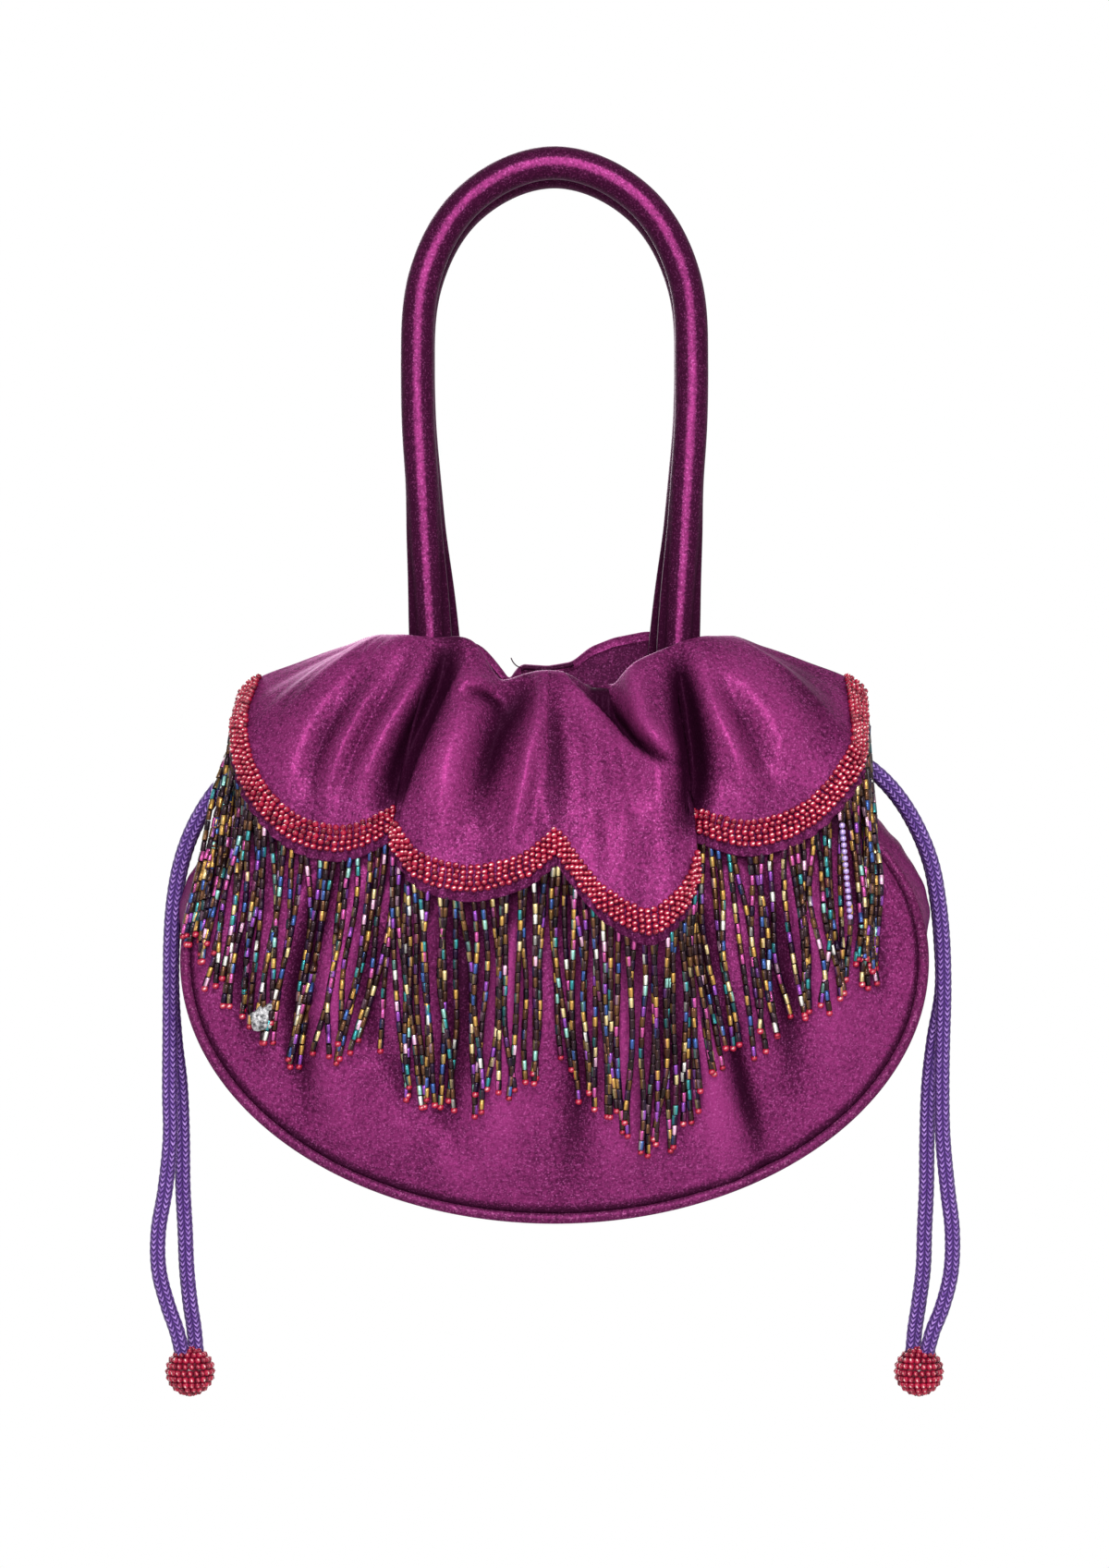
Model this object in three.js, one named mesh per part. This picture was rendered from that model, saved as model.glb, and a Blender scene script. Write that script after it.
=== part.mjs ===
// Drawstring evening bag of gathered satin, with two stuffed handles, a ruffle round the mouth
// that is edged with a band of beads and a bead fringe, and two cords that end in bead balls.
// Millimetres, +Z up, front towards -Y. The origin is the point that carries the bag, just under
// the top of the two handles, so the bag hangs below it and the cords hang past its base.

import * as THREE from 'three';

const FRONT = -1;
const BACK = 1;
const LEFT = -1;
const RIGHT = 1;

// Cloth and clearances
const SATIN = 1.5;
const TOUCH = 0.3;
const SEWN_GAP = 0.5;
const SIDE_SEAM = 0.5;

// Body: an oval front and back, piped all round, joined by a gusset
const BODY_HALF_WIDTH = 115.5;
const WIDEST_Z = -244;
const BODY_DROP = 81;
const PANEL_BULGE = 18;
const PIPING_RADIUS = 1.5;
const GUSSET_HALF_WIDTH = 27;
const GUSSET_HALF_AT_NECK = 13;
const GUSSET_FULL_Z = -225;
const SIDE_BULGE = 1.2;
const SHOULDER_BULGE = 5;
const SHOULDER_X = 82;
const SHOULDER_Z = -184;
const SHOULDER_FADE = 12;
const CORNER_INSET_X = 2;
const SHOULDER_INSET_Z = 1.4;
const SIDE_PULL = 34;
const PANEL_FOLDS = 9;
const PANEL_FOLD_DEPTH = 2.2;
const BULGE_ROUNDNESS = 0.8;
const FOLD_RISE = 0.6;
const PANEL_COLUMNS = 36;
const PANEL_ROWS = 8;
const GUSSET_COLUMNS = 40;
const GUSSET_ROWS = 2;
const PIPING_STEPS = 40;
const PIPING_SIDES = 6;

// Neck: a gathered casing in two halves that holds both drawstrings
const NECK_HALF_WIDTH = 50;
const NECK_HALF_DEPTH = 24;
const NECK_SQUARENESS = 3;
const NECK_KNOTS = 24;
const CASING_Z = -169;
const CASING_HALF_HEIGHT = 9.5;
const CASING_HALF_DEPTH = 4;
const CASING_WALL = 1.1;
const CASING_SHOULDER = 0.53;
const CASING_PEAK_INSET = 1.3;
const CASING_SIDE_GAP = 8.5;
const CASING_GATHERS = 8;
const GATHER_DEPTH = 0.9;
const CASING_STEPS = 24;
const DRAWSTRING_RADIUS = 2.2;
const DRAWSTRING_SPACING = 6.4;
const DRAWSTRING_STEPS = 30;
const DRAWSTRING_KNOTS = 16;
const NECK_SEAM_DROP = 1.5;
const PANEL_NECK_SHARE = 0.16;
const PANEL_CORNER_SHARE = 0.03;

// Ruffle: one scalloped flounce in front and one behind
const LIP_GAP = 0.6;
const CREST_Z = CASING_Z + 25.5;
const CREST_FLARE = 3.5;
const NOTCH_DEPTH = 11;
const NOTCH_LEFT = [-27, -13];
const NOTCH_RIGHT = [12, 36];
const RUFFLE_COLUMNS = 11;
const RUFFLE_HEIGHTS = [0, 0.13, 0.25, 0.37, 0.5, 0.67, 0.84, 1];
const RUFFLE_FOLDS = 12;
const RUFFLE_FOLD_DEPTH = 2.1;
const RUFFLE_ARCH = 0.09;
const RUFFLE_HALF_WIDTH = 97.5;
const RUFFLE_HALF_DEPTH = 62;
const RUFFLE_DROP = 73;
const HEM_SIDE_Z = CASING_Z + 11;
const SHOULDER_AT = 0.3;
const DRAPE_AT = 0.62;
const DRAPE_GATHER = 0.9;
const HEM_GATHER = 0.5;
const SCALLOP_NECK_SHARE = [0, 0.26, 0.5, 0.75, 1];
const FOLD_NECK_SHARE = 0.012;
const FACING_RISE = 0.55;

// Bead band and fringe along the hem
const BEAD_ROW = 6.4;
const BEAD_THICKNESS = 2.2;
const HEM_BELOW_BEADS = 3;
const FRINGE_TAPE = 3.2;
const FRINGE_TAPE_THICKNESS = 1.2;
const STRAND_LENGTHS = [70, 67, 69, 60];
const STRAND_LEANS = [[-22, 1], [0, 2], [2, 7], [7, 3]];
const STRAND_CLEAR_Y = 44;
const STRAND_SHARE = 0.48;
const STRAND_TIP = 0.7;

// Handles: half of one, from foot to top, in shares of its half span and of its rise
const HANDLE_RADIUS = 5.2;
const HANDLE_SIDES = 9;
const HANDLE_STEPS = 24;
const HANDLE_HALF_SPAN = NECK_HALF_WIDTH * 0.86;
const HANDLE_FOOT_Y = NECK_HALF_DEPTH * 0.35;
const HANDLE_TOP_Y = 5.6;
const HANDLE_FOOT_Z = CASING_Z + 3;
const HANDLE_RISE = 171.4;
const BACK_HANDLE_SAG = 1.4;
const HANDLE_SHAPE = [
  [0.898, 0], [0.898, 0.105], [0.953, 0.356], [1, 0.63], [0.944, 0.793], [0.698, 0.913], [0.36, 0.978],
];

// Cords and their bead balls
const CORD_RADIUS = 2.5;
const CORD_SIDES = 8;
const CORD_STEPS = 20;
const CORD_HALF_SPACING = 2.9;
const CORD_EXIT_X = 54.6;
const BALL_RADIUS = 8;
const BALL_X = 114.6;
const BALL_Z = -374;

const COLOURS = {
  satin: 0x8f3a75,
  piping: 0x6d2858,
  facing: 0x6b2857,
  cord: 0x63348a,
  beads: 0x9a2038,
  fringe: 0x5c2440,
};

const bag = new THREE.Group();

function finish(colour, roughness, metalness) {
  return new THREE.MeshStandardMaterial({ color: colour, roughness, metalness });
}

function addPiece(name, geometry, colour, roughness = 0.5, metalness = 0) {
  const mesh = new THREE.Mesh(geometry, finish(colour, roughness, metalness));
  mesh.name = name;
  bag.add(mesh);
}

function smooth(value, from, to) {
  return THREE.MathUtils.smoothstep(value, Math.min(from, to), Math.max(from, to));
}

// Closed meshes from grids of points

function signedVolume(points, index) {
  let volume = 0;
  for (let i = 0; i < index.length; i += 3) {
    const cross = new THREE.Vector3().crossVectors(points[index[i + 1]], points[index[i + 2]]);
    volume += points[index[i]].dot(cross) / 6;
  }
  return volume;
}

function closedMesh(points, index) {
  const outward = signedVolume(points, index) > 0 ? index : [...index].reverse();
  const geometry = new THREE.BufferGeometry().setFromPoints(points);
  geometry.setIndex(outward);
  geometry.computeVertexNormals();
  return geometry;
}

// Two grids of the same size become the two faces of one skin, closed along its four edges.
function closedSkin(near, far) {
  const columns = near.length - 1;
  const rows = near[0].length - 1;
  const points = [...near.flat(), ...far.flat()];
  const at = (face, i, j) => (face * (columns + 1) + i) * (rows + 1) + j;
  const index = [];
  const quad = (a, b, c, d) => index.push(a, b, c, a, c, d);
  for (let i = 0; i < columns; i++) {
    for (let j = 0; j < rows; j++) {
      quad(at(0, i, j), at(0, i + 1, j), at(0, i + 1, j + 1), at(0, i, j + 1));
      quad(at(1, i, j), at(1, i, j + 1), at(1, i + 1, j + 1), at(1, i + 1, j));
    }
    quad(at(0, i + 1, 0), at(0, i, 0), at(1, i, 0), at(1, i + 1, 0));
    quad(at(0, i, rows), at(0, i + 1, rows), at(1, i + 1, rows), at(1, i, rows));
  }
  for (let j = 0; j < rows; j++) {
    quad(at(0, 0, j), at(0, 0, j + 1), at(1, 0, j + 1), at(1, 0, j));
    quad(at(0, columns, j + 1), at(0, columns, j), at(1, columns, j), at(1, columns, j + 1));
  }
  return closedMesh(points, index);
}

// Each point of the grid moved along the normal that its neighbours give.
function moved(grid, distance) {
  const last = grid.length - 1;
  const end = grid[0].length - 1;
  return grid.map((line, i) => line.map((point, j) => {
    const along = grid[Math.min(i + 1, last)][j].clone().sub(grid[Math.max(i - 1, 0)][j]);
    const down = line[Math.min(j + 1, end)].clone().sub(line[Math.max(j - 1, 0)]);
    return point.clone().addScaledVector(along.cross(down).normalize(), distance);
  }));
}

function clothFrom(grid, thickness = SATIN) {
  return closedSkin(moved(grid, thickness / 2), moved(grid, -thickness / 2));
}

// A round tube along a curve, closed at both ends.
function tube(curve, radius, sides, steps) {
  const corners = [];
  for (let i = 0; i < sides; i++) {
    const angle = (2 * Math.PI * i) / sides;
    corners.push(new THREE.Vector2(radius * Math.cos(angle), radius * Math.sin(angle)));
  }
  return new THREE.ExtrudeGeometry(new THREE.Shape(corners), { extrudePath: curve, steps });
}

// Neck ring: a squared oval seen from above, followed from the left side to the right

function neckCurve(offset, side) {
  const points = [];
  const a = NECK_HALF_WIDTH + offset;
  const b = NECK_HALF_DEPTH + offset;
  const n = NECK_SQUARENESS;
  const samples = NECK_KNOTS;
  for (let i = 0; i <= samples; i++) {
    const angle = Math.PI * (1 - i / samples);
    const c = Math.cos(angle);
    const s = Math.sin(angle);
    const r = ((Math.abs(c) / a) ** n + (s / b) ** n) ** (-1 / n);
    points.push(new THREE.Vector3(r * c, side * r * s, 0));
  }
  return new THREE.CatmullRomCurve3(points);
}

const neckLine = { [FRONT]: neckCurve(0, FRONT), [BACK]: neckCurve(0, BACK) };
const crestLine = {
  [FRONT]: neckCurve(CREST_FLARE, FRONT),
  [BACK]: neckCurve(CREST_FLARE, BACK),
};
const NECK_HALF_LENGTH = neckLine[FRONT].getLength();
const CASING_TOP = CASING_Z + CASING_HALF_HEIGHT;
const NECK_Z = CASING_Z - CASING_HALF_HEIGHT - NECK_SEAM_DROP;

// Body seam, seen from the front: down one shoulder, round the oval base and up the other

function bodyOutline(inset) {
  const corner = NECK_HALF_WIDTH - CORNER_INSET_X * inset;
  const wide = BODY_HALF_WIDTH - inset;
  const shoulderX = SHOULDER_X - inset;
  const shoulderZ = SHOULDER_Z - SHOULDER_INSET_Z * inset;
  const outline = new THREE.CurvePath();
  outline.add(new THREE.CubicBezierCurve(
    new THREE.Vector2(-corner, NECK_Z),
    new THREE.Vector2(-shoulderX, shoulderZ),
    new THREE.Vector2(-wide, WIDEST_Z + SIDE_PULL),
    new THREE.Vector2(-wide, WIDEST_Z),
  ));
  outline.add(new THREE.EllipseCurve(0, WIDEST_Z, wide, BODY_DROP - inset, Math.PI, 2 * Math.PI));
  outline.add(new THREE.CubicBezierCurve(
    new THREE.Vector2(wide, WIDEST_Z),
    new THREE.Vector2(wide, WIDEST_Z + SIDE_PULL),
    new THREE.Vector2(shoulderX, shoulderZ),
    new THREE.Vector2(corner, NECK_Z),
  ));
  return outline;
}

function gussetHalfAt(z) {
  const share = smooth(z, GUSSET_FULL_Z, NECK_Z);
  return THREE.MathUtils.lerp(GUSSET_HALF_WIDTH, GUSSET_HALF_AT_NECK, share);
}

// Front and back panels: gathered at the neck, full in the middle, drawn in at the piping

function panelGrid(side) {
  const inset = 2 * PIPING_RADIUS + SATIN / 2 + TOUCH;
  const outline = bodyOutline(inset);
  const longest = Math.abs(WIDEST_Z - BODY_DROP - NECK_Z);
  const grid = [];
  for (let i = 0; i <= PANEL_COLUMNS; i++) {
    const share = i / PANEL_COLUMNS;
    const neckShare = THREE.MathUtils.lerp(PANEL_NECK_SHARE, 1 - PANEL_NECK_SHARE, share);
    const seamShare = THREE.MathUtils.lerp(PANEL_CORNER_SHARE, 1 - PANEL_CORNER_SHARE, share);
    const top = neckLine[side].getPointAt(neckShare);
    top.z = NECK_Z;
    const seam = outline.getPointAt(seamShare);
    const edge = new THREE.Vector3(seam.x, side * gussetHalfAt(seam.y), seam.y);
    const fullness = Math.min(1, top.distanceTo(edge) / longest);
    const line = [];
    for (let j = 0; j <= PANEL_ROWS; j++) {
      const v = j / PANEL_ROWS;
      const point = top.clone().lerp(edge, v);
      const bulge = PANEL_BULGE * fullness * Math.sin(Math.PI * v) ** BULGE_ROUNDNESS;
      const gather = Math.cos(2 * Math.PI * PANEL_FOLDS * share);
      const ripple = PANEL_FOLD_DEPTH * fullness * gather * Math.sin(Math.PI * v ** FOLD_RISE);
      point.y += side * (bulge + ripple);
      line.push(point);
    }
    grid.push(line);
  }
  return grid;
}

addPiece('front_panel', clothFrom(panelGrid(FRONT)), COLOURS.satin, 0.42);
addPiece('back_panel', clothFrom(panelGrid(BACK)), COLOURS.satin, 0.42);

// Gusset: one strip from the neck, round the base and back up to the neck

function gussetGrid() {
  const outline = bodyOutline(PIPING_RADIUS);
  const grid = [];
  for (let i = 0; i <= GUSSET_COLUMNS; i++) {
    const share = i / GUSSET_COLUMNS;
    const point = outline.getPointAt(share);
    const tangent = outline.getTangentAt(share);
    const half = gussetHalfAt(point.y) - PIPING_RADIUS - TOUCH;
    const shoulder = smooth(point.y, WIDEST_Z, GUSSET_FULL_Z) * smooth(-point.y, -NECK_Z, -SHOULDER_Z + SHOULDER_FADE);
    const fullness = SIDE_BULGE + SHOULDER_BULGE * shoulder;
    const line = [];
    for (let j = 0; j <= GUSSET_ROWS; j++) {
      const across = (2 * j) / GUSSET_ROWS - 1;
      const bulge = fullness * (1 - across * across);
      const x = point.x + tangent.y * bulge;
      const z = point.y - tangent.x * bulge;
      line.push(new THREE.Vector3(x, across * half, z));
    }
    grid.push(line);
  }
  return grid;
}

addPiece('gusset', clothFrom(gussetGrid()), COLOURS.satin, 0.42);

// Piping: a covered cord sewn in the seam between each panel and the gusset

function pipingCurve(side) {
  const outline = bodyOutline(PIPING_RADIUS);
  const points = [];
  for (let i = 0; i <= PIPING_STEPS; i++) {
    const seam = outline.getPointAt(i / PIPING_STEPS);
    points.push(new THREE.Vector3(seam.x, side * gussetHalfAt(seam.y), seam.y));
  }
  return new THREE.CatmullRomCurve3(points);
}

for (const [name, side] of [['front_piping', FRONT], ['back_piping', BACK]]) {
  const piping = tube(pipingCurve(side), PIPING_RADIUS, PIPING_SIDES, PIPING_STEPS);
  addPiece(name, piping, COLOURS.piping, 0.5);
}

// Neck casing: a flat sleeve, gathered along its length, open at the two sides of the bag

function casingSection(inset, gather) {
  const deep = CASING_HALF_DEPTH - inset;
  const full = deep + gather;
  const tall = CASING_HALF_HEIGHT - inset * CASING_PEAK_INSET;
  const straight = tall * CASING_SHOULDER;
  return [[full, -straight], [full, straight], [0, tall], [-deep, straight], [-deep, -straight], [0, -tall]];
}

function casing(side) {
  const line = neckLine[side];
  const gap = CASING_SIDE_GAP / NECK_HALF_LENGTH;
  const corners = 6;
  const points = [];
  for (let i = 0; i <= CASING_STEPS; i++) {
    const along = i / CASING_STEPS;
    const share = THREE.MathUtils.lerp(gap, 1 - gap, along);
    const centre = line.getPointAt(share);
    const tangent = line.getTangentAt(share);
    const outward = new THREE.Vector3(tangent.y, -tangent.x, 0).multiplyScalar(-side);
    const gather = (GATHER_DEPTH * (1 - Math.cos(2 * Math.PI * CASING_GATHERS * along))) / 2;
    for (const section of [casingSection(0, gather), casingSection(CASING_WALL, 0)]) {
      for (const [out, up] of section) {
        const point = centre.clone().addScaledVector(outward, out);
        point.z = CASING_Z + up;
        points.push(point);
      }
    }
  }
  const at = (step, ring, corner) => (step * 2 + ring) * corners + (corner % corners);
  const index = [];
  const quad = (a, b, c, d) => index.push(a, b, c, a, c, d);
  for (let k = 0; k < corners; k++) {
    for (let i = 0; i < CASING_STEPS; i++) {
      quad(at(i, 0, k), at(i + 1, 0, k), at(i + 1, 0, k + 1), at(i, 0, k + 1));
      quad(at(i, 1, k), at(i, 1, k + 1), at(i + 1, 1, k + 1), at(i + 1, 1, k));
    }
    quad(at(0, 0, k), at(0, 0, k + 1), at(0, 1, k + 1), at(0, 1, k));
    const end = CASING_STEPS;
    quad(at(end, 0, k), at(end, 1, k), at(end, 1, k + 1), at(end, 0, k + 1));
  }
  return closedMesh(points, index);
}

addPiece('front_neck_casing', casing(FRONT), COLOURS.satin, 0.45);
addPiece('back_neck_casing', casing(BACK), COLOURS.satin, 0.45);

// Drawstrings: each goes once round inside the casing and comes out at its own side

const drawstringHeight = {
  [LEFT]: CASING_Z + DRAWSTRING_SPACING / 2,
  [RIGHT]: CASING_Z - DRAWSTRING_SPACING / 2,
};

function drawstringCurve(hand) {
  const z = drawstringHeight[hand];
  const samples = DRAWSTRING_KNOTS;
  const out = CORD_EXIT_X - DRAWSTRING_RADIUS;
  const points = [new THREE.Vector3(hand * out, FRONT * CORD_HALF_SPACING, z)];
  for (const side of [FRONT, BACK]) {
    for (let i = 1; i <= samples; i++) {
      const share = side === FRONT ? i / (samples + 1) : 1 - i / (samples + 1);
      const point = neckLine[side].getPointAt(hand === LEFT ? share : 1 - share);
      points.push(new THREE.Vector3(point.x, point.y, z));
    }
    if (side === FRONT) points.push(new THREE.Vector3(-hand * NECK_HALF_WIDTH, 0, z));
  }
  points.push(new THREE.Vector3(hand * out, BACK * CORD_HALF_SPACING, z));
  return new THREE.CatmullRomCurve3(points);
}

for (const [name, hand] of [['left_drawstring', LEFT], ['right_drawstring', RIGHT]]) {
  const loop = tube(drawstringCurve(hand), DRAWSTRING_RADIUS, PIPING_SIDES, DRAWSTRING_STEPS);
  addPiece(name, loop, COLOURS.cord, 0.7);
}

// Ruffle: profiles rise from the casing, roll over the crest and fall to the scalloped hem.
// Each scallop's hem is a smooth curve from left to right. Its points are shares of the ruffle's
// half width, of its half depth and of its drop.

const scallopHems = [
  [
    [-0.974, 0.016, 0], [-1, 0.323, 0.192], [-0.944, 0.548, 0.438],
    [-0.81, 0.661, 0.616], [-0.656, 0.71, 0.658], [-0.462, 0.726, 0.548],
  ],
  [
    [-0.503, 0.839, 0.63], [-0.421, 0.903, 0.767], [-0.256, 0.935, 0.822],
    [-0.092, 0.952, 0.767], [0.005, 0.968, 0.671],
  ],
  [
    [0.005, 0.968, 0.671], [0.164, 1, 0.918], [0.297, 1, 1],
    [0.39, 0.952, 0.904], [0.441, 0.871, 0.767],
  ],
  [
    [0.4, 0.758, 0.562], [0.605, 0.726, 0.637], [0.79, 0.645, 0.562],
    [0.933, 0.548, 0.356], [0.964, 0.323, 0.178], [0.964, 0.016, 0],
  ],
].map((hem) => new THREE.CatmullRomCurve3(hem.map(([across, out, down]) => new THREE.Vector3(
  across * RUFFLE_HALF_WIDTH,
  FRONT * out * RUFFLE_HALF_DEPTH,
  HEM_SIDE_Z - down * RUFFLE_DROP,
))));

const LAST_SCALLOP = scallopHems.length - 1;

// The crest dips into a wide notch between the two handles.
function crestHeight(x) {
  return CREST_Z - NOTCH_DEPTH * (smooth(x, ...NOTCH_LEFT) - smooth(x, ...NOTCH_RIGHT));
}

// The curve down the cloth at one place of one scallop, 0 at its left end and 1 at its right.
function ruffleProfile(side, scallop, along) {
  const from = SCALLOP_NECK_SHARE[scallop] + (scallop > 0 ? FOLD_NECK_SHARE : 0);
  const to = SCALLOP_NECK_SHARE[scallop + 1] - (scallop < LAST_SCALLOP ? FOLD_NECK_SHARE : 0);
  const share = THREE.MathUtils.lerp(from, to, along);
  const lip = neckLine[side].getPointAt(share);
  lip.z = CASING_TOP + LIP_GAP;
  const crest = crestLine[side].getPointAt(share);
  crest.z = crestHeight(crest.x);
  const hem = scallopHems[scallop].getPoint(along);
  hem.y *= -side;
  const chord = hem.clone().sub(crest);
  const level = Math.hypot(chord.x, chord.y);
  const length = chord.length();
  const rise = new THREE.Vector3((-chord.x * chord.z) / level, (-chord.y * chord.z) / level, level);
  rise.divideScalar(length);
  const gather = Math.cos(2 * Math.PI * RUFFLE_FOLDS * share) * RUFFLE_FOLD_DEPTH;
  const arch = RUFFLE_ARCH * length;
  const shoulder = crest.clone().lerp(hem, SHOULDER_AT).addScaledVector(rise, arch + gather);
  const drape = crest.clone().lerp(hem, DRAPE_AT).addScaledVector(rise, arch + gather * DRAPE_GATHER);
  hem.addScaledVector(rise, gather * HEM_GATHER);
  const stations = [lip, crest, shoulder, drape, hem];
  stations.forEach((point) => { point.y += side * SIDE_SEAM; });
  return new THREE.CatmullRomCurve3(stations);
}

function ruffleGrid(side, scallops) {
  const grid = [];
  for (const scallop of scallops) {
    for (let i = 0; i <= RUFFLE_COLUMNS; i++) {
      const profile = ruffleProfile(side, scallop, i / RUFFLE_COLUMNS);
      grid.push(RUFFLE_HEIGHTS.map((height) => profile.getPoint(height)));
    }
  }
  return grid;
}

const ALL_SCALLOPS = [0, 1, 2, 3];
const ruffleSurface = {
  [FRONT]: ruffleGrid(FRONT, ALL_SCALLOPS),
  [BACK]: ruffleGrid(BACK, ALL_SCALLOPS),
};

addPiece('front_ruffle', clothFrom(ruffleSurface[FRONT]), COLOURS.satin, 0.42);
addPiece('back_ruffle', clothFrom(ruffleSurface[BACK]), COLOURS.satin, 0.42);

// Facing: a band of the same satin sewn inside the mouth, behind the ruffle's crest

function facing(side) {
  const near = SATIN / 2 + TOUCH;
  const skins = [near, near + SATIN / 2].map((distance) => moved(ruffleSurface[side], -side * distance));
  return closedSkin(...skins.map((skin) => skin.map(([low, middle, crest]) => (
    [low, middle.clone().lerp(crest, FACING_RISE)]
  ))));
}

addPiece('front_mouth_facing', facing(FRONT), COLOURS.facing, 0.6);
addPiece('back_mouth_facing', facing(BACK), COLOURS.facing, 0.6);

// Bead band: lies on the outside of the cloth, a little above the hem of each scallop

const TRIM_INNER = SATIN / 2 + SEWN_GAP;

// The point at a distance above the hem, along one column of the cloth; below it when negative.
function aboveHem(line, distance) {
  let left = distance;
  for (let j = line.length - 1; j > 0; j--) {
    const step = line[j].distanceTo(line[j - 1]);
    if (left <= step) return line[j].clone().lerp(line[j - 1], left / step);
    left -= step;
  }
  return line[0].clone();
}

// One scallop's strip of the cloth between two distances from the hem, moved off its surface.
function hemStrip(side, scallop, high, low, distance) {
  const skin = moved(ruffleSurface[side], side * distance);
  const first = scallop * (RUFFLE_COLUMNS + 1);
  const lines = skin.slice(first, first + RUFFLE_COLUMNS + 1);
  return lines.map((line) => [aboveHem(line, high), aboveHem(line, low)]);
}

function beadBand(side, scallop) {
  const high = HEM_BELOW_BEADS + BEAD_ROW;
  const [inner, outer] = [TRIM_INNER, TRIM_INNER + BEAD_THICKNESS].map((distance) => (
    hemStrip(side, scallop, high, HEM_BELOW_BEADS, distance).slice(1, -1)
  ));
  return closedSkin(inner, outer);
}

// Fringe: a narrow tape under the bead band, with one strand hanging from each of its steps.
// Strands on the side scallops lean outwards and come forward to lie on the panel.

function strandDrop(side, scallop, column, head) {
  const along = column / RUFFLE_COLUMNS;
  const [leanLeft, leanRight] = STRAND_LEANS[scallop];
  const length = STRAND_LENGTHS[scallop];
  const lean = leanLeft * (1 - along) ** 2 + leanRight * along ** 2;
  const forward = side * Math.max(0, STRAND_CLEAR_Y - Math.abs(head.y));
  return new THREE.Vector3(lean, forward, -Math.sqrt(length ** 2 - lean ** 2 - forward ** 2));
}

function fringe(side, scallop) {
  const high = HEM_BELOW_BEADS - SEWN_GAP;
  const [inner, outer] = [TRIM_INNER, TRIM_INNER + FRINGE_TAPE_THICKNESS].map((distance) => (
    hemStrip(side, scallop, high, high - FRINGE_TAPE, distance)
  ));
  const points = [];
  const index = [];
  const quad = (a, b, c, d) => index.push(a, b, c, a, c, d);
  const first = scallop === 0 ? 2 : 1;
  const last = scallop === LAST_SCALLOP ? RUFFLE_COLUMNS - 2 : RUFFLE_COLUMNS - 1;
  const addRing = (column, share) => {
    const corner = (face, j) => face[column][j].clone().lerp(face[column + 1][j], share);
    points.push(corner(outer, 0), corner(inner, 0), corner(inner, 1), corner(outer, 1));
    return points.length - 4;
  };
  let ring = addRing(first, 0);
  quad(ring, ring + 3, ring + 2, ring + 1);
  for (let column = first; column < last; column++) {
    const start = addRing(column, (1 - STRAND_SHARE) / 2);
    const end = addRing(column, (1 + STRAND_SHARE) / 2);
    const close = addRing(column, 1);
    for (const [a, b] of [[ring, start], [start, end], [end, close]]) {
      quad(a, b, b + 3, a + 3);
      quad(a + 1, a + 2, b + 2, b + 1);
      quad(a, a + 1, b + 1, b);
      if (a !== start) quad(a + 2, a + 3, b + 3, b + 2);
    }
    const head = [start + 3, end + 3, end + 2, start + 2];
    const centre = new THREE.Vector3();
    head.forEach((corner) => centre.addScaledVector(points[corner], 1 / head.length));
    const drop = strandDrop(side, scallop, column, centre);
    const tip = points.length;
    for (const corner of head) {
      const spread = points[corner].clone().sub(centre).multiplyScalar(STRAND_TIP);
      spread.z = 0;
      points.push(spread.add(centre).add(drop));
    }
    head.forEach((corner, k) => {
      const next = (k + 1) % head.length;
      quad(corner, head[next], tip + next, tip + k);
    });
    quad(tip, tip + 1, tip + 2, tip + 3);
    ring = close;
  }
  quad(ring, ring + 1, ring + 2, ring + 3);
  return closedMesh(points, index);
}

const scallopNames = ['left_wing', 'left', 'right', 'right_wing'];
for (const [sideName, side] of [['front', FRONT], ['back', BACK]]) {
  for (const scallop of ALL_SCALLOPS) {
    const place = `${sideName}_${scallopNames[scallop]}`;
    addPiece(`${place}_bead_band`, beadBand(side, scallop), COLOURS.beads, 0.25);
    addPiece(`${place}_fringe`, fringe(side, scallop), COLOURS.fringe, 0.25);
  }
}

// Handles: stuffed satin tubes, their feet sewn inside the front and the back of the casing

function handleCurve(side, sag) {
  const rise = HANDLE_RISE - sag;
  const knot = (hand, [reach, height]) => new THREE.Vector3(
    hand * reach * HANDLE_HALF_SPAN,
    side * THREE.MathUtils.lerp(HANDLE_FOOT_Y, HANDLE_TOP_Y, height),
    HANDLE_FOOT_Z + height * rise,
  );
  const up = HANDLE_SHAPE.map((place) => knot(LEFT, place));
  const down = HANDLE_SHAPE.map((place) => knot(RIGHT, place)).reverse();
  return new THREE.CatmullRomCurve3([...up, knot(RIGHT, [0, 1]), ...down]);
}

for (const [name, side, sag] of [['front_handle', FRONT, 0], ['back_handle', BACK, BACK_HANDLE_SAG]]) {
  const handle = tube(handleCurve(side, sag), HANDLE_RADIUS, HANDLE_SIDES, HANDLE_STEPS);
  addPiece(name, handle, COLOURS.satin, 0.45);
}

// Free cords: two strands each side, from the casing over the shoulder and down to the ball

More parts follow.
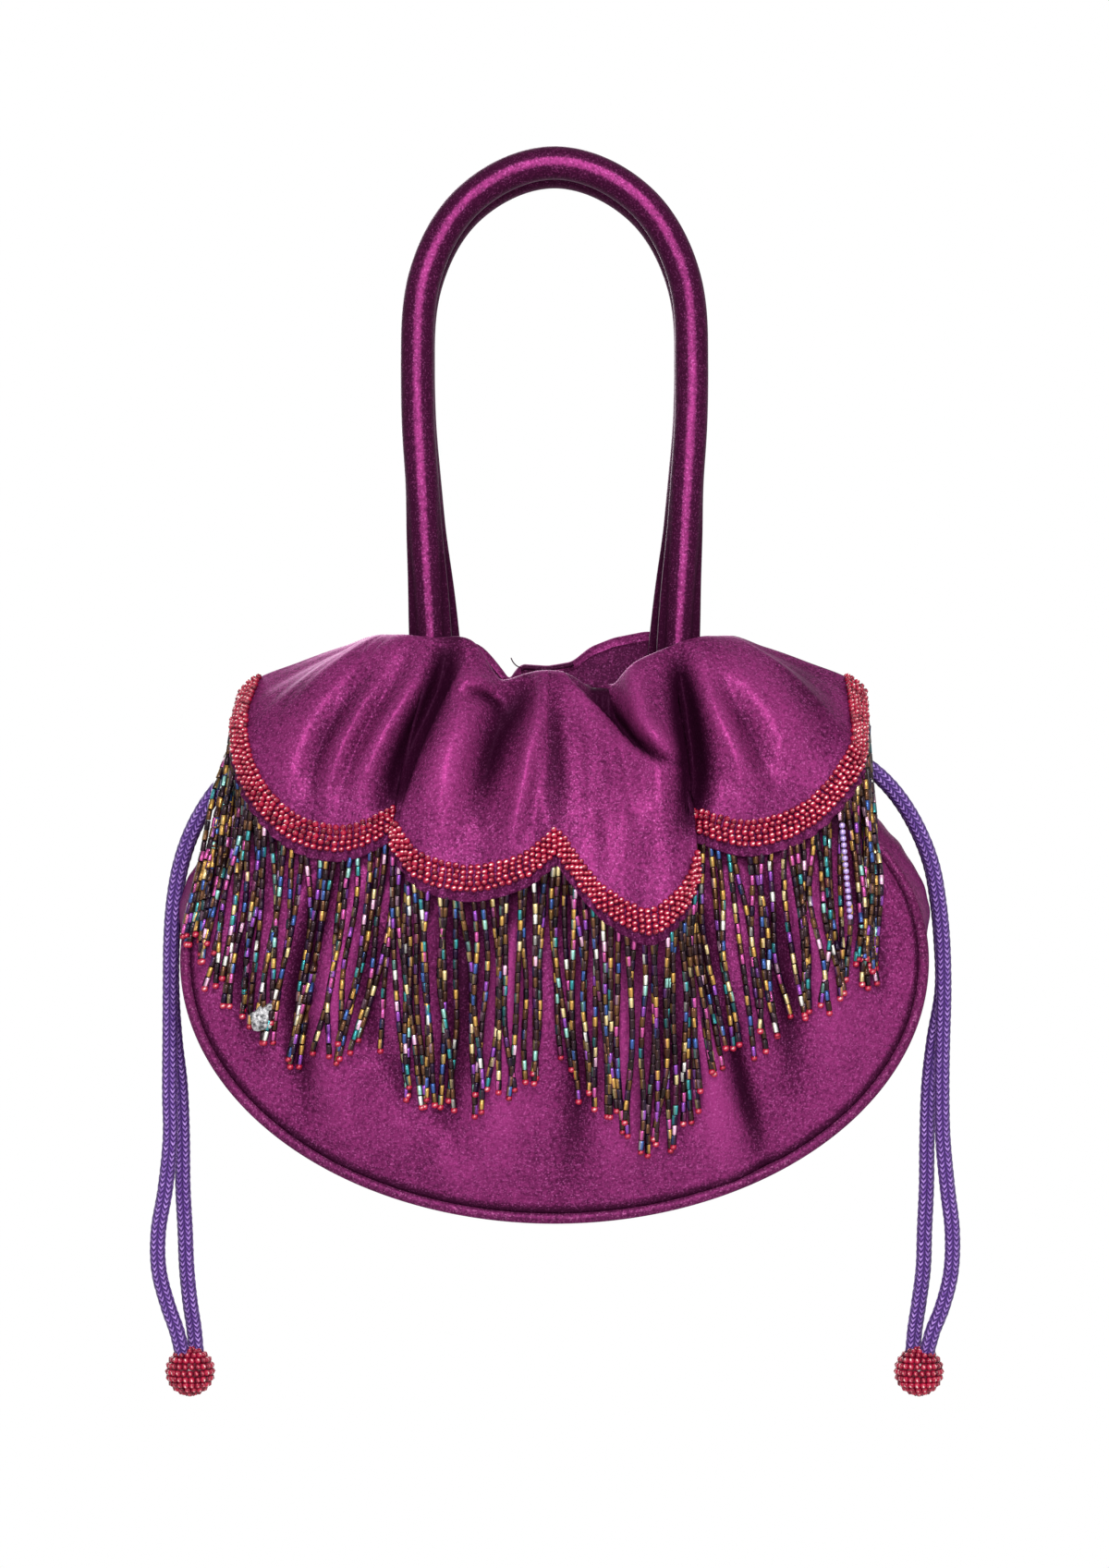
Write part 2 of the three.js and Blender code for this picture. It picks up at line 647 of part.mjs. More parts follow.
const leftRoute = [
  [-62, -167.6], [-73, -171.4], [-84, -175.8], [-94.5, -181.2], [-102.4, -187.2], [-108.6, -194.6],
  [-114, -204.3], [-117.6, -215], [-119.5, -226], [-120.4, -238], [-120.6, -254],
];
const leftOuter = [
  [-120.7, -270], [-120.8, -286], [-120.6, -300], [-122.2, -316.5], [-124.4, -330], [-124.2, -342],
  [-121.4, -353], [-118.2, -361],
];
const leftInner = [
  [-119.6, -270], [-118, -284], [-117.3, -300], [-117.1, -316.5], [-116.4, -330], [-115.9, -342],
  [-115.4, -353], [-115.2, -361],
];
const rightRoute = [
  [62, -172], [73, -173.2], [84, -176.4], [94, -180.8], [102.6, -187.2], [109, -194.6],
  [114.6, -204.3], [118.6, -215], [120.6, -226], [121.8, -238], [122.2, -254],
];
const rightOuter = [
  [121.8, -270], [121.6, -284], [121.9, -300], [123.4, -316.5], [124.9, -330], [124.4, -343],
  [121.6, -354], [118.4, -361],
];
const rightInner = [
  [119.6, -270], [118, -284], [117.4, -300], [117.2, -316.5], [116.6, -330], [116.2, -342],
  [115.6, -353], [115.2, -361],
];

function cordCurve(hand, side, route) {
  const y = side * CORD_HALF_SPACING;
  const reach = Math.sqrt((BALL_RADIUS + TOUCH) ** 2 - (CORD_HALF_SPACING - CORD_RADIUS) ** 2);
  const points = [new THREE.Vector3(hand * CORD_EXIT_X, y, drawstringHeight[hand])];
  points.push(...route.map(([x, z]) => new THREE.Vector3(x, y, z)));
  points.push(new THREE.Vector3(hand * (BALL_X + 0.6), y, BALL_Z + reach));
  return new THREE.CatmullRomCurve3(points);
}

const cordRuns = [
  ['left_cord_front', LEFT, FRONT, [...leftRoute, ...leftOuter]],
  ['left_cord_back', LEFT, BACK, [...leftRoute, ...leftInner]],
  ['right_cord_front', RIGHT, FRONT, [...rightRoute, ...rightOuter]],
  ['right_cord_back', RIGHT, BACK, [...rightRoute, ...rightInner]],
];
for (const [name, hand, side, route] of cordRuns) {
  addPiece(name, tube(cordCurve(hand, side, route), CORD_RADIUS, CORD_SIDES, CORD_STEPS), COLOURS.cord, 0.7);
}

for (const [name, hand] of [['left_bead_ball', LEFT], ['right_bead_ball', RIGHT]]) {
  const ball = new THREE.SphereGeometry(BALL_RADIUS, 12, 8);
  ball.translate(hand * BALL_X, 0, BALL_Z);
  addPiece(name, ball, COLOURS.beads, 0.3);
}

export default bag;
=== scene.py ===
import math
import bmesh
import bpy
import numpy as np
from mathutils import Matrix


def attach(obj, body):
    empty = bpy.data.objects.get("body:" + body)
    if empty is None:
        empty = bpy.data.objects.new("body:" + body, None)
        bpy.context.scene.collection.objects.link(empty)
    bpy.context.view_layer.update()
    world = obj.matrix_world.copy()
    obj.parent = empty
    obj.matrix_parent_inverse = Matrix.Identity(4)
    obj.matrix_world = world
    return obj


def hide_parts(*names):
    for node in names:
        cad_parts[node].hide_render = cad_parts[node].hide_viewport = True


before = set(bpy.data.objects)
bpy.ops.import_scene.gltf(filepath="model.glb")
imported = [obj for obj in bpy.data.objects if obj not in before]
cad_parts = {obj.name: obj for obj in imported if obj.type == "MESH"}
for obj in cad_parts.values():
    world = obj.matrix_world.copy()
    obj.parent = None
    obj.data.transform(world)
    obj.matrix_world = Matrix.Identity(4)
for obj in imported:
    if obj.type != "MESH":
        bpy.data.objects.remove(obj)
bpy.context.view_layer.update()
MM = 0.001


# View: the bag hangs a metre and a half from a long lens that looks level at it, and the photo's
# scale holds in a plane a little in front of the handles. Soft lamps light it in a white room, over
# a pale round floor that takes its shadow.
VIEW_DISTANCE = 1.5
SCALE_PLANE = 0.03
VIEW_HEIGHT = -0.1893
VIEW_TALL = 0.48365
FLOOR_HEIGHT = -0.6
FLOOR_RADIUS = 0.95
FLOOR_SIDES = 96
FLOOR_GREY = (0.86, 0.86, 0.86, 1)
ROOM_GLOW = 0.10
WHITE = (1.0, 1.0, 1.0, 1.0)


class Mark:
    """A socket of a finish. Its sums, differences, products and powers add Math nodes."""

    def __init__(self, finish, socket):
        self.finish = finish
        self.socket = socket

    def maths(self, operation, *values):
        """A Math node on the values, or on this socket alone where none are given."""
        values = dict(enumerate(values or (self,)))
        return self.finish.node("ShaderNodeMath", {"operation": operation}, values)

    def __add__(self, other):
        return self.maths("ADD", self, other)

    def __radd__(self, other):
        return self.maths("ADD", other, self)

    def __sub__(self, other):
        return self.maths("SUBTRACT", self, other)

    def __rsub__(self, other):
        return self.maths("SUBTRACT", other, self)

    def __mul__(self, other):
        return self.maths("MULTIPLY", self, other)

    def __rmul__(self, other):
        return self.maths("MULTIPLY", other, self)

    def __pow__(self, other):
        return self.maths("POWER", self, other)

    def __rpow__(self, other):
        return self.maths("POWER", other, self)


class Finish:
    """The node tree of one material, or of the world, and the one method that adds its nodes."""

    def __init__(self, holder):
        holder.use_nodes = True
        self.holder = holder
        self.tree = holder.node_tree
        self.tree.nodes.clear()

    def node(self, kind, settings, sockets, output=0):
        """Adds a node: first its settings, then the values or links of its sockets."""
        made = self.tree.nodes.new(kind)
        for name, value in settings.items():
            setattr(made, name, value)
        for name, value in sockets.items():
            if isinstance(value, Mark):
                self.tree.links.new(value.socket, made.inputs[name])
            else:
                made.inputs[name].default_value = value
        return Mark(self, made.outputs[output]) if made.outputs else None

    def blend(self, share, low, high):
        """A colour from low to high by a share from 0 to 1."""
        return self.node("ShaderNodeMix", {"data_type": "RGBA"}, {"Factor": share, 6: low, 7: high}, 2)


world = bpy.data.worlds.new("white_room")
bpy.context.scene.world = world
room = Finish(world)
rays = [room.node("ShaderNodeLightPath", {}, {}, name) for name in
        ("Is Camera Ray", "Is Glossy Ray", "Is Transmission Ray")]
seen = room.node("ShaderNodeMath", {"use_clamp": True}, {0: rays[0] + rays[1], 1: rays[2]})
glow = room.node("ShaderNodeBackground", {}, {
    "Color": WHITE, "Strength": seen * (1 - ROOM_GLOW) + ROOM_GLOW})
room.node("ShaderNodeOutputWorld", {}, {"Surface": glow})

camera = bpy.data.objects.new("camera", bpy.data.cameras.new("camera"))
camera.data.lens = camera.data.sensor_width * VIEW_DISTANCE / VIEW_TALL
camera.location = (0, -VIEW_DISTANCE - SCALE_PLANE, VIEW_HEIGHT)
camera.rotation_euler = (math.pi / 2, 0, 0)
bpy.context.collection.objects.link(camera)
bpy.context.scene.camera = camera
bpy.context.scene.view_settings.view_transform = "Standard"

# Each lamp has its place, its size, its power and its share in the gloss.
LAMPS = [
    ("key_lamp", (0.08, -1.32, 0.68), 0.40, 21, 1),
    ("front_lamp", (-0.06, -1.8, -0.02), 0.40, 15, 1),
    ("left_lamp", (-1.25, -1.0, 0.05), 0.5, 3, 1),
    ("right_lamp", (1.3, -0.9, 0.1), 0.5, 4, 1),
    ("back_lamp", (-0.3, 1.5, 0.4), 1.0, 17, 0.1),
]
LAMP_AIM = (0, 0, -0.22)
for name, place, size, power, gloss in LAMPS:
    lamp = bpy.data.objects.new(name, bpy.data.lights.new(name, "AREA"))
    lamp.data.size = size
    lamp.data.energy = power
    lamp.data.specular_factor = gloss
    lamp.location = place
    aim = np.array(LAMP_AIM) - place
    lamp.rotation_euler = (math.acos(-aim[2] / np.linalg.norm(aim)), 0, math.atan2(-aim[0], aim[1]))
    bpy.context.collection.objects.link(lamp)

floor_finish = Finish(bpy.data.materials.new("pale_floor"))
lit = floor_finish.node("ShaderNodeBsdfPrincipled", {}, {
    "Base Color": FLOOR_GREY, "Roughness": 0.9, "Emission Color": WHITE, "Emission Strength": 0.25})
floor_finish.node("ShaderNodeOutputMaterial", {}, {"Surface": lit})
floor_mesh = bpy.data.meshes.new("floor")
turn = np.linspace(0, 2 * np.pi, FLOOR_SIDES, endpoint=False)
rim = np.stack([np.cos(turn) * FLOOR_RADIUS, np.sin(turn) * FLOOR_RADIUS, 0 * turn + FLOOR_HEIGHT], -1)
floor_mesh.from_pydata(rim.tolist(), [], [list(range(FLOOR_SIDES))])
floor_mesh.materials.append(floor_finish.holder)
floor = bpy.data.objects.new("floor", floor_mesh)
bpy.context.collection.objects.link(floor)


# Cords: two limp braided strands leave each side of the neck casing, cross the shoulder and hang
# past the base of the bag. They are violet rayon, braided from four threads each way round a core.
CORD_RADIUS = 2.5
CORD_SPACING = 2.9
CORD_EXIT = (54.6, -165.8, -172.2)
CORD_ENDS = {-1: (116.9, -368.4), 1: (112.8, -368.4)}
END_SPACING = 0.5
CORD_RINGS = 320
CORD_SIDES = 16
BRAID_PITCH = 5.2
BRAID_STRANDS = 4
BRAID_RELIEF = 0.07
MERGE_GAP = 1e-6
LEFT_ROUTE = [
    (-62, -167.6), (-73, -171.4), (-84, -175.8), (-94.5, -181.2), (-102.4, -187.2), (-108.6, -194.6),
    (-114, -204.3), (-117.6, -215), (-119.5, -226), (-120.4, -238), (-120.6, -254),
]
LEFT_OUTER = [
    (-120.7, -270), (-120.8, -286), (-120.6, -300), (-122.2, -316.5), (-124.4, -330), (-124.2, -342),
    (-121.4, -353), (-118.6, -361),
]
LEFT_INNER = [
    (-119.6, -270), (-118, -284), (-117.3, -300), (-117.1, -316.5), (-116.4, -330), (-115.9, -342),
    (-114.8, -353), (-113.6, -361),
]
RIGHT_ROUTE = [
    (62, -172), (73, -173.2), (84, -176.4), (94, -180.8), (102.6, -187.2), (109, -194.6),
    (114.6, -204.3), (118.6, -215), (120.6, -226), (121.8, -238), (122.2, -254),
]
RIGHT_OUTER = [
    (121.8, -270), (121.6, -284), (121.9, -300), (123.4, -316.5), (124.9, -330), (124.4, -343),
    (121.6, -354), (118.8, -361),
]
RIGHT_INNER = [
    (119.6, -270), (118, -284), (117.4, -300), (117.2, -316.5), (116.6, -330), (116.2, -342),
    (114.8, -353), (113.6, -361),
]


def smooth_line(knots, places):
    """Points of the centripetal Catmull-Rom curve through the knots, at places from 0 to 1.

    Each span is a Hermite cubic whose end slopes weigh the neighbouring knots by the square
    root of their distance. The knots run along the first axis, and curves may lie side by side.
    """
    knots = np.asarray(knots, float)
    padded = np.concatenate([[2 * knots[0] - knots[1]], knots, [2 * knots[-1] - knots[-2]]])
    reach = np.clip(places, 0, 1) * (len(knots) - 1)
    span = np.minimum(reach.astype(int), len(knots) - 2)
    t = (reach - span).reshape(-1, *[1] * (knots.ndim - 1))
    a, b, c, d = (padded[span + k] for k in range(4))
    before, here, after = (
        np.maximum(np.linalg.norm(q - p, axis=-1, keepdims=True) ** 0.5, 1e-4)
        for p, q in ((a, b), (b, c), (c, d))
    )
    leave = ((b - a) / before - (c - a) / (before + here) + (c - b) / here) * here
    arrive = ((c - b) / here - (d - b) / (here + after) + (d - c) / after) * here
    return (b + leave * t + (3 * (c - b) - 2 * leave - arrive) * t ** 2
            + (2 * (b - c) + leave + arrive) * t ** 3)


def evenly(line, shares):
    """Points at shares of a polyline's length, from 0 to 1."""
    steps = np.linalg.norm(np.diff(line, axis=0), axis=1)
    run = np.concatenate([[0], np.cumsum(steps)]) / steps.sum()
    return np.stack([np.interp(shares, run, line[:, k]) for k in range(line.shape[1])], -1)


def drawn_line(knots, fine, count):
    """A count of points at even steps of length on the smooth line through the knots.

    The smooth line is worked out at a fine number of places first.
    """
    return evenly(smooth_line(knots, np.linspace(0, 1, fine)), np.linspace(0, 1, count))


def around_angles(sides):
    """The angles of a ring's points, in a row."""
    return np.linspace(0, 2 * np.pi, sides, endpoint=False)


def line_length(line):
    """The length of a polyline."""
    return np.linalg.norm(np.diff(line, axis=0), axis=1).sum()


def unit(vectors):
    """Vectors along the last axis, each brought to length 1."""
    return vectors / np.maximum(np.linalg.norm(vectors, axis=-1, keepdims=True), 1e-9)


def tube(line, radius, sides, across=(0, 1, 0)):
    """A round tube's rings of points: each centre plus a circle square to the line's own direction.

    The circle starts towards across, which the line never follows. radius is a number or an array
    of one row per ring and one column per side. A ring of no radius closes each end.
    """
    along = unit(np.gradient(line, axis=0))
    first = unit(np.asarray(across) - along * (along @ np.asarray(across, float))[:, None])
    second = np.cross(along, first)
    angle = around_angles(sides)
    radius = np.broadcast_to(radius, (len(line), sides))
    ring = (first[:, None] * np.cos(angle)[:, None] + second[:, None] * np.sin(angle)[:, None])
    start, stop = (np.repeat(line[k][None, None], sides, 1) for k in (0, -1))
    return np.concatenate([start, line[:, None] + ring * radius[..., None], stop])


def woven(rows, columns, ring=False):
    """The quads of a grid of points and each corner's place on the grid, from 0 to 1 both ways.

    A ring also joins its last column to its first.
    """
    spans = columns if ring else columns - 1
    i, j = np.meshgrid(np.arange(rows - 1), np.arange(spans), indexing="ij")
    steps = ((0, 0), (0, 1), (1, 1), (1, 0))
    quads = np.stack([(i + a) * columns + (j + b) % columns for a, b in steps], -1)
    places = np.stack([np.stack([(j + b) / spans, (i + a) / (rows - 1)], -1) for a, b in steps], 2)
    return quads.reshape(-1, 4), places.reshape(-1, 2)


def sewn(name, points, finish, ring=False, flip=False, wall=0, fold_shades=None):
    """A smooth piece from a grid of points in millimetres, with the grid as its UV map.

    A ring is closed: its points that meet are merged and its faces are turned outwards. An open
    cloth is turned by flip, and gets a wall of the given thickness, half to each side. The fold
    shades, from -1 in a hollow to 1 on a ridge, are painted shade and painted light in the satin.
    """
    rows, columns = points.shape[:2]
    quads, places = woven(rows, columns, ring)
    if flip:
        quads, places = quads[:, ::-1], places.reshape(-1, 4, 2)[:, ::-1].reshape(-1, 2)
    mesh = bpy.data.meshes.new(name)
    mesh.from_pydata((points.reshape(-1, 3) * MM).tolist(), [], quads.tolist())
    mesh.uv_layers.new(name="weave").data.foreach_set("uv", places.ravel())
    if fold_shades is not None:
        shades = mesh.attributes.new("fold", "FLOAT", "POINT")
        shades.data.foreach_set("value", np.clip(fold_shades, -1, 1).ravel())
    return finished(name, mesh, finish, ring, wall)


def finished(name, mesh, finish, closed, wall=0):
    """The object of a mesh, smooth and in its finish, with a wall if it has one.

    A closed mesh has its doubles merged and its faces turned outwards.
    """
    if closed:
        work = bmesh.new()
        work.from_mesh(mesh)
        bmesh.ops.remove_doubles(work, verts=work.verts, dist=MERGE_GAP)
        bmesh.ops.recalc_face_normals(work, faces=work.faces)
        work.to_mesh(mesh)
        work.free()
    mesh.shade_smooth()
    mesh.materials.append(finish.holder)
    made = bpy.data.objects.new(name, mesh)
    bpy.context.collection.objects.link(made)
    if wall:
        thick = made.modifiers.new("wall", "SOLIDIFY")
        thick.thickness = wall * MM
        thick.offset = 0
    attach(made, "root")
    return made


CORD_VIOLET = (0.080, 0.018, 0.215, 1)
CORD_SHADE = (0.022, 0.004, 0.065, 1)
CORD_PAINTED_SHEEN = (0.46, 0.28, 0.68, 1)
RIB_COUNT = 6
STITCH_PITCH = 1.7
STITCH_SLANT = 0.9
CORD_REACH = 250
SILK_SCALE = 650
# The braid's colour and relief follow its stitches, which slant away from the middle of each rib.
# The grooves between the stitches get a painted shade, and noisy flecks of painted sheen lie on
# their crowns.
cord_finish = Finish(bpy.data.materials.new("violet_braid"))
weave = cord_finish.node("ShaderNodeUVMap", {"uv_map": "weave"}, {})
around, along = (cord_finish.node("ShaderNodeSeparateXYZ", {}, {0: weave}, k) for k in (0, 1))
rib_edge = (((around * RIB_COUNT).maths("FRACT") - 0.5) * 2).maths("ABSOLUTE")
stitch = (along * (CORD_REACH / STITCH_PITCH) + rib_edge * STITCH_SLANT).maths("FRACT")
thread = (stitch * math.pi).maths("SINE") * (1 - rib_edge ** 3)
place = cord_finish.node("ShaderNodeTexCoord", {}, {}, "Object")
sheen = cord_finish.node("ShaderNodeTexNoise", {}, {"Vector": place, "Scale": SILK_SCALE, "Detail": 2})
shade = cord_finish.blend(thread, CORD_SHADE, CORD_VIOLET)
sheen_flecks = cord_finish.blend(thread ** 4 * (sheen * 2.4 - 0.55), shade, CORD_PAINTED_SHEEN)
relief = cord_finish.node("ShaderNodeBump", {}, {"Height": thread, "Strength": 0.7, "Distance": 0.0004})
silk = cord_finish.node("ShaderNodeBsdfPrincipled", {}, {
    "Base Color": sheen_flecks, "Roughness": 0.55, "Normal": relief, "Specular IOR Level": 0.25,
    "Sheen Weight": 0.1, "Sheen Roughness": 0.4, "Sheen Tint": (0.75, 0.6, 1, 1)})
cord_finish.node("ShaderNodeOutputMaterial", {}, {"Surface": silk})


def cord_line(hand, side, route):
    """The centre of a strand: from its exit through its route to the top of its bead ball."""
    y = side * CORD_SPACING
    knots = [(hand * CORD_EXIT[0], y, CORD_EXIT[1] if hand < 0 else CORD_EXIT[2])]
    knots += [(x, y, z) for x, z in route]
    knots += [(hand * CORD_ENDS[side][0], END_SPACING * y, CORD_ENDS[side][1])]
    return drawn_line(knots, 1200, CORD_RINGS)


cords = {}
for name, hand, side, route in [
    ("left_cord_front", -1, -1, LEFT_ROUTE + LEFT_OUTER),
    ("left_cord_back", -1, 1, LEFT_ROUTE + LEFT_INNER),
    ("right_cord_front", 1, -1, RIGHT_ROUTE + RIGHT_OUTER),
    ("right_cord_back", 1, 1, RIGHT_ROUTE + RIGHT_INNER),
]:
    line = cord_line(hand, side, route)
    length = line_length(line)
    turn = BRAID_STRANDS * around_angles(CORD_SIDES)
    lay = np.linspace(0, length / BRAID_PITCH * 2 * np.pi, len(line))[:, None]
    braid = np.maximum(np.sin(turn + lay), np.sin(turn - lay))
    radius = CORD_RADIUS * (1 - BRAID_RELIEF + BRAID_RELIEF * braid)
    cord = sewn(name + "_braid", tube(line, radius, CORD_SIDES), cord_finish, ring=True)
    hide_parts(name)
    cords[name] = cord, line, length


# Bead balls: each cord's two strands end in one ball, a wooden core covered with rings of
# dark red glass seed beads, sewn on in courses.
BALL_RADIUS = 8
BALL_CENTRE = (114.6, 0, -374)
BALL_BEAD = 1.05
BALL_COURSES = 11
BEAD_STEP = 2.05
CORE_INSET = 1.2
SEED_SQUASH = 0.85
TINT_SPREAD = 0.3
BALL_GLINT = 0.8
CROWN = 0.95
GLASS_MAROON = (0.085, 0.002, 0.012, 1)
GLASS_RED = (0.38, 0.005, 0.036, 1)
GLASS_PAINTED_GLINT = (1.0, 0.96, 0.92, 1)
CLEAR_GAIN = 3.2
GLINT_POWER = 5

# The glass goes from maroon to clear red as its random tint rises, and turns pale silver, a painted
# glint, where the tint is near 1, which is where a bead faces out.
red_glass = Finish(bpy.data.materials.new("red_seed_beads"))
tint_and_glint = red_glass.node("ShaderNodeAttribute", {"attribute_name": "tint_and_glint"}, {}, "Fac")
clear = red_glass.blend(tint_and_glint * CLEAR_GAIN, GLASS_MAROON, GLASS_RED)
glinted_glass = red_glass.node("ShaderNodeBsdfPrincipled", {}, {
    "Base Color": red_glass.blend(tint_and_glint ** GLINT_POWER, clear, GLASS_PAINTED_GLINT), "Roughness": 0.22,
    "Coat Weight": 0.2, "Coat Roughness": 0.06, "Specular IOR Level": 0.15})
red_glass.node("ShaderNodeOutputMaterial", {}, {"Surface": glinted_glass})


def bead_form(sides, profile):
    """A turned bead on the X axis: rings of the profile's (place, radius), closed at both ends."""
    angle = around_angles(sides)
    rings = np.array([[(x, r * np.cos(a), r * np.sin(a)) for a in angle] for x, r in profile])
    quads, _ = woven(len(profile), sides, True)
    last = (len(profile) - 1) * sides
    ends = [list(range(sides)), [last + k for k in range(sides)][::-1]]
    return rings.reshape(-1, 3), quads.tolist(), ends


SEED_FORM = bead_form(6, [(-1, 0.45), (-0.6, 0.92), (0, 1), (0.6, 0.92), (1, 0.45)])


def strung(name, form, centres, axes, outs, half_lengths, radii, tints_and_glints, finish, glint=0):
    """Beads of one form, each at its centre along its own axis, joined into one piece.

    A bead's points are its centre, plus its axis times x and its half length, plus the direction
    nearest to out times y and its radius, plus the third direction times z and its radius. The tints
    hold a number or a colour for each bead, or a colour for each point of each bead, and such colours
    may carry painted glints. A painted glint is added to the numbers where a bead faces out.
    """
    points, quads, ends = form
    count, size = len(centres), len(points)
    axes = unit(axes)
    face = unit(outs - axes * (outs * axes).sum(-1, keepdims=True))
    third = np.cross(axes, face)
    half_lengths = np.broadcast_to(half_lengths, count)[:, None, None]
    radii = np.broadcast_to(radii, count)[:, None, None]
    placed = (centres[:, None] + axes[:, None] * points[None, :, :1] * half_lengths
              + (face[:, None] * points[None, :, 1:2] + third[:, None] * points[None, :, 2:]) * radii)
    shift = np.arange(count)[:, None, None] * size
    faces = (np.array(quads)[None] + shift).reshape(-1, 4).tolist()
    faces += (np.array(ends)[None] + shift).reshape(-1, len(ends[0])).tolist()
    mesh = bpy.data.meshes.new(name)
    mesh.from_pydata((placed.reshape(-1, 3) * MM).tolist(), [], faces)
    tints_and_glints = np.asarray(tints_and_glints, float)
    tints_and_glints = tints_and_glints.reshape(-1, 3) if tints_and_glints.ndim == 3 else np.repeat(tints_and_glints, size, 0)
    if tints_and_glints.ndim == 1:
        # A painted glint is added to the tint where the bead faces out.
        facing_out = (points[:, 1] > CROWN) & (points[:, 0] == 0)
        tints_and_glints = tints_and_glints + glint * np.tile(facing_out, count)
        mesh.attributes.new("tint_and_glint", "FLOAT", "POINT").data.foreach_set("value", tints_and_glints)
    else:
        rgba = np.concatenate([tints_and_glints, np.ones((len(tints_and_glints), 1))], 1)
        mesh.attributes.new("tint_and_glint", "FLOAT_COLOR", "POINT").data.foreach_set("color", rgba.ravel())
    return finished(name, mesh, finish, True)


def sphere(centre, radius, rows=14, columns=20):
    """A ball's grid: circles of latitude from pole to pole."""
    down = np.linspace(0, np.pi, rows)[:, None]
    turn = around_angles(columns)
    x, y = np.sin(down) * np.cos(turn), np.sin(down) * np.sin(turn)
    return np.array(centre) + radius * np.stack([x, y, np.cos(down) + 0 * turn], -1)


rng = np.random.default_rng(7)
for name, hand in [("left_bead_ball", -1), ("right_bead_ball", 1)]:
    centre = np.array(BALL_CENTRE) * (hand, 1, 1)
    core = sewn(name + "_core", sphere(centre, BALL_RADIUS - BALL_BEAD * CORE_INSET), red_glass, ring=True)
    places, axes = [], []
    for course in range(BALL_COURSES):
        down = np.pi * (course + 0.5) / BALL_COURSES
        count = max(4, round(2 * np.pi * math.sin(down) * BALL_RADIUS / (BEAD_STEP * BALL_BEAD)))
        turn = (np.arange(count) + 0.5 * (course % 2)) * 2 * np.pi / count
        x, y = np.sin(down) * np.cos(turn), np.sin(down) * np.sin(turn)
        ring = np.stack([x, y, np.cos(down) + 0 * turn], -1)
        places.append(centre + ring * (BALL_RADIUS - BALL_BEAD))
        axes.append(np.stack([-np.sin(turn), np.cos(turn), 0 * turn], -1))
    places, axes = np.concatenate(places), np.concatenate(axes)
    beads = strung(name + "_beads", SEED_FORM, places, axes, places - centre, BALL_BEAD * SEED_SQUASH,
                   BALL_BEAD, rng.random(len(places)) * TINT_SPREAD, red_glass, glint=BALL_GLINT)
    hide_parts(name)
    side_name = name.split("_")[0]
    for end, far_end in (("front", "fitting"), ("back", "knot")):
        cord, line, length = cords[f"{side_name}_cord_{end}"]
        tuple(line[0] * MM)
        length * MM
        (line * MM).tolist()


# Satin: the magenta purple cloth of the whole bag, a crinkled satin with a soft sheen. Its crushed
# grain is a fraction of a millimetre, and the cloth is cut and gathered but never printed.
# The deep colour also serves as painted shade and the face colour as painted light, set by the folds. The
# hollow colour is a painted shade and the fleck colour a painted sheen.
SATIN_DEEP_SHADE = (0.060, 0.006, 0.035, 1)
SATIN_LIT_FACE = (0.238, 0.027, 0.138, 1)
SATIN_SHEEN_FLECK = (0.50, 0.12, 0.36, 1)
SATIN_HOLLOW_SHADE = (0.012, 0.001, 0.007, 1)
CRINKLE_SCALE = 700
PATCH_SCALE = 45
SPECK_SCALE = 1900
GRAIN_SCALE = 950
FOLD_LIGHT = 0.55


def satin_finish(name, deep, face, sheen_fleck):
    """Crushed satin: three sizes of grain, with the painted shade and light of the folds, take it
    from its deep to its face colour.

    Hollows sink towards black in a painted shade, and pale flecks of painted sheen stand out of the
    rest. The gloss is broad, takes the colour of the thread, and goes out in the hollows.
    """
    finish = Finish(bpy.data.materials.new(name))
    place = finish.node("ShaderNodeTexCoord", {}, {}, "Object")
    crinkle = finish.node("ShaderNodeTexNoise", {"noise_type": "RIDGED_MULTIFRACTAL"}, {
        "Vector": place, "Scale": CRINKLE_SCALE, "Detail": 3, "Roughness": 0.6})
    patches, speck, grain = (
        finish.node("ShaderNodeTexNoise", {}, {"Vector": place, "Scale": scale, "Detail": detail})
        for scale, detail in ((PATCH_SCALE, 3), (SPECK_SCALE, 2), (GRAIN_SCALE, 2)))
    fold = finish.node("ShaderNodeAttribute", {"attribute_name": "fold"}, {}, "Fac")
    grain_and_fold_light = finish.node("ShaderNodeMath", {"operation": "MULTIPLY_ADD", "use_clamp": True}, {
        0: crinkle, 1: 0.25, 2: patches * 0.8 - 0.85 + grain * 1.6 + fold * FOLD_LIGHT})
    hollow = finish.node("ShaderNodeMath", {"operation": "MULTIPLY", "use_clamp": True}, {
        0: fold * -1 - 0.08, 1: 0.95})
    sheen_share = finish.node("ShaderNodeMath", {"operation": "MULTIPLY", "use_clamp": True}, {
        0: (speck - 0.56) * (1 - hollow), 1: 2.6})
    cloth = finish.blend(hollow, finish.blend(grain_and_fold_light, deep, face), SATIN_HOLLOW_SHADE)
    relief = finish.node("ShaderNodeBump", {}, {
        "Height": crinkle * 0.6 + speck * 0.4, "Strength": 0.35, "Distance": 0.0005})
    gloss = finish.node("ShaderNodeBsdfPrincipled", {}, {
        "Base Color": finish.blend(sheen_share, cloth, sheen_fleck), "Roughness": 0.43 - crinkle * 0.04,
        "Metallic": 0.25 - hollow * 0.25, "Specular IOR Level": 0.04, "Specular Tint": (1, 0.38, 0.84, 1),
        "Normal": relief})
    finish.node("ShaderNodeOutputMaterial", {}, {"Surface": gloss})
    return finish


satin = satin_finish("magenta_satin", SATIN_DEEP_SHADE, SATIN_LIT_FACE, SATIN_SHEEN_FLECK)


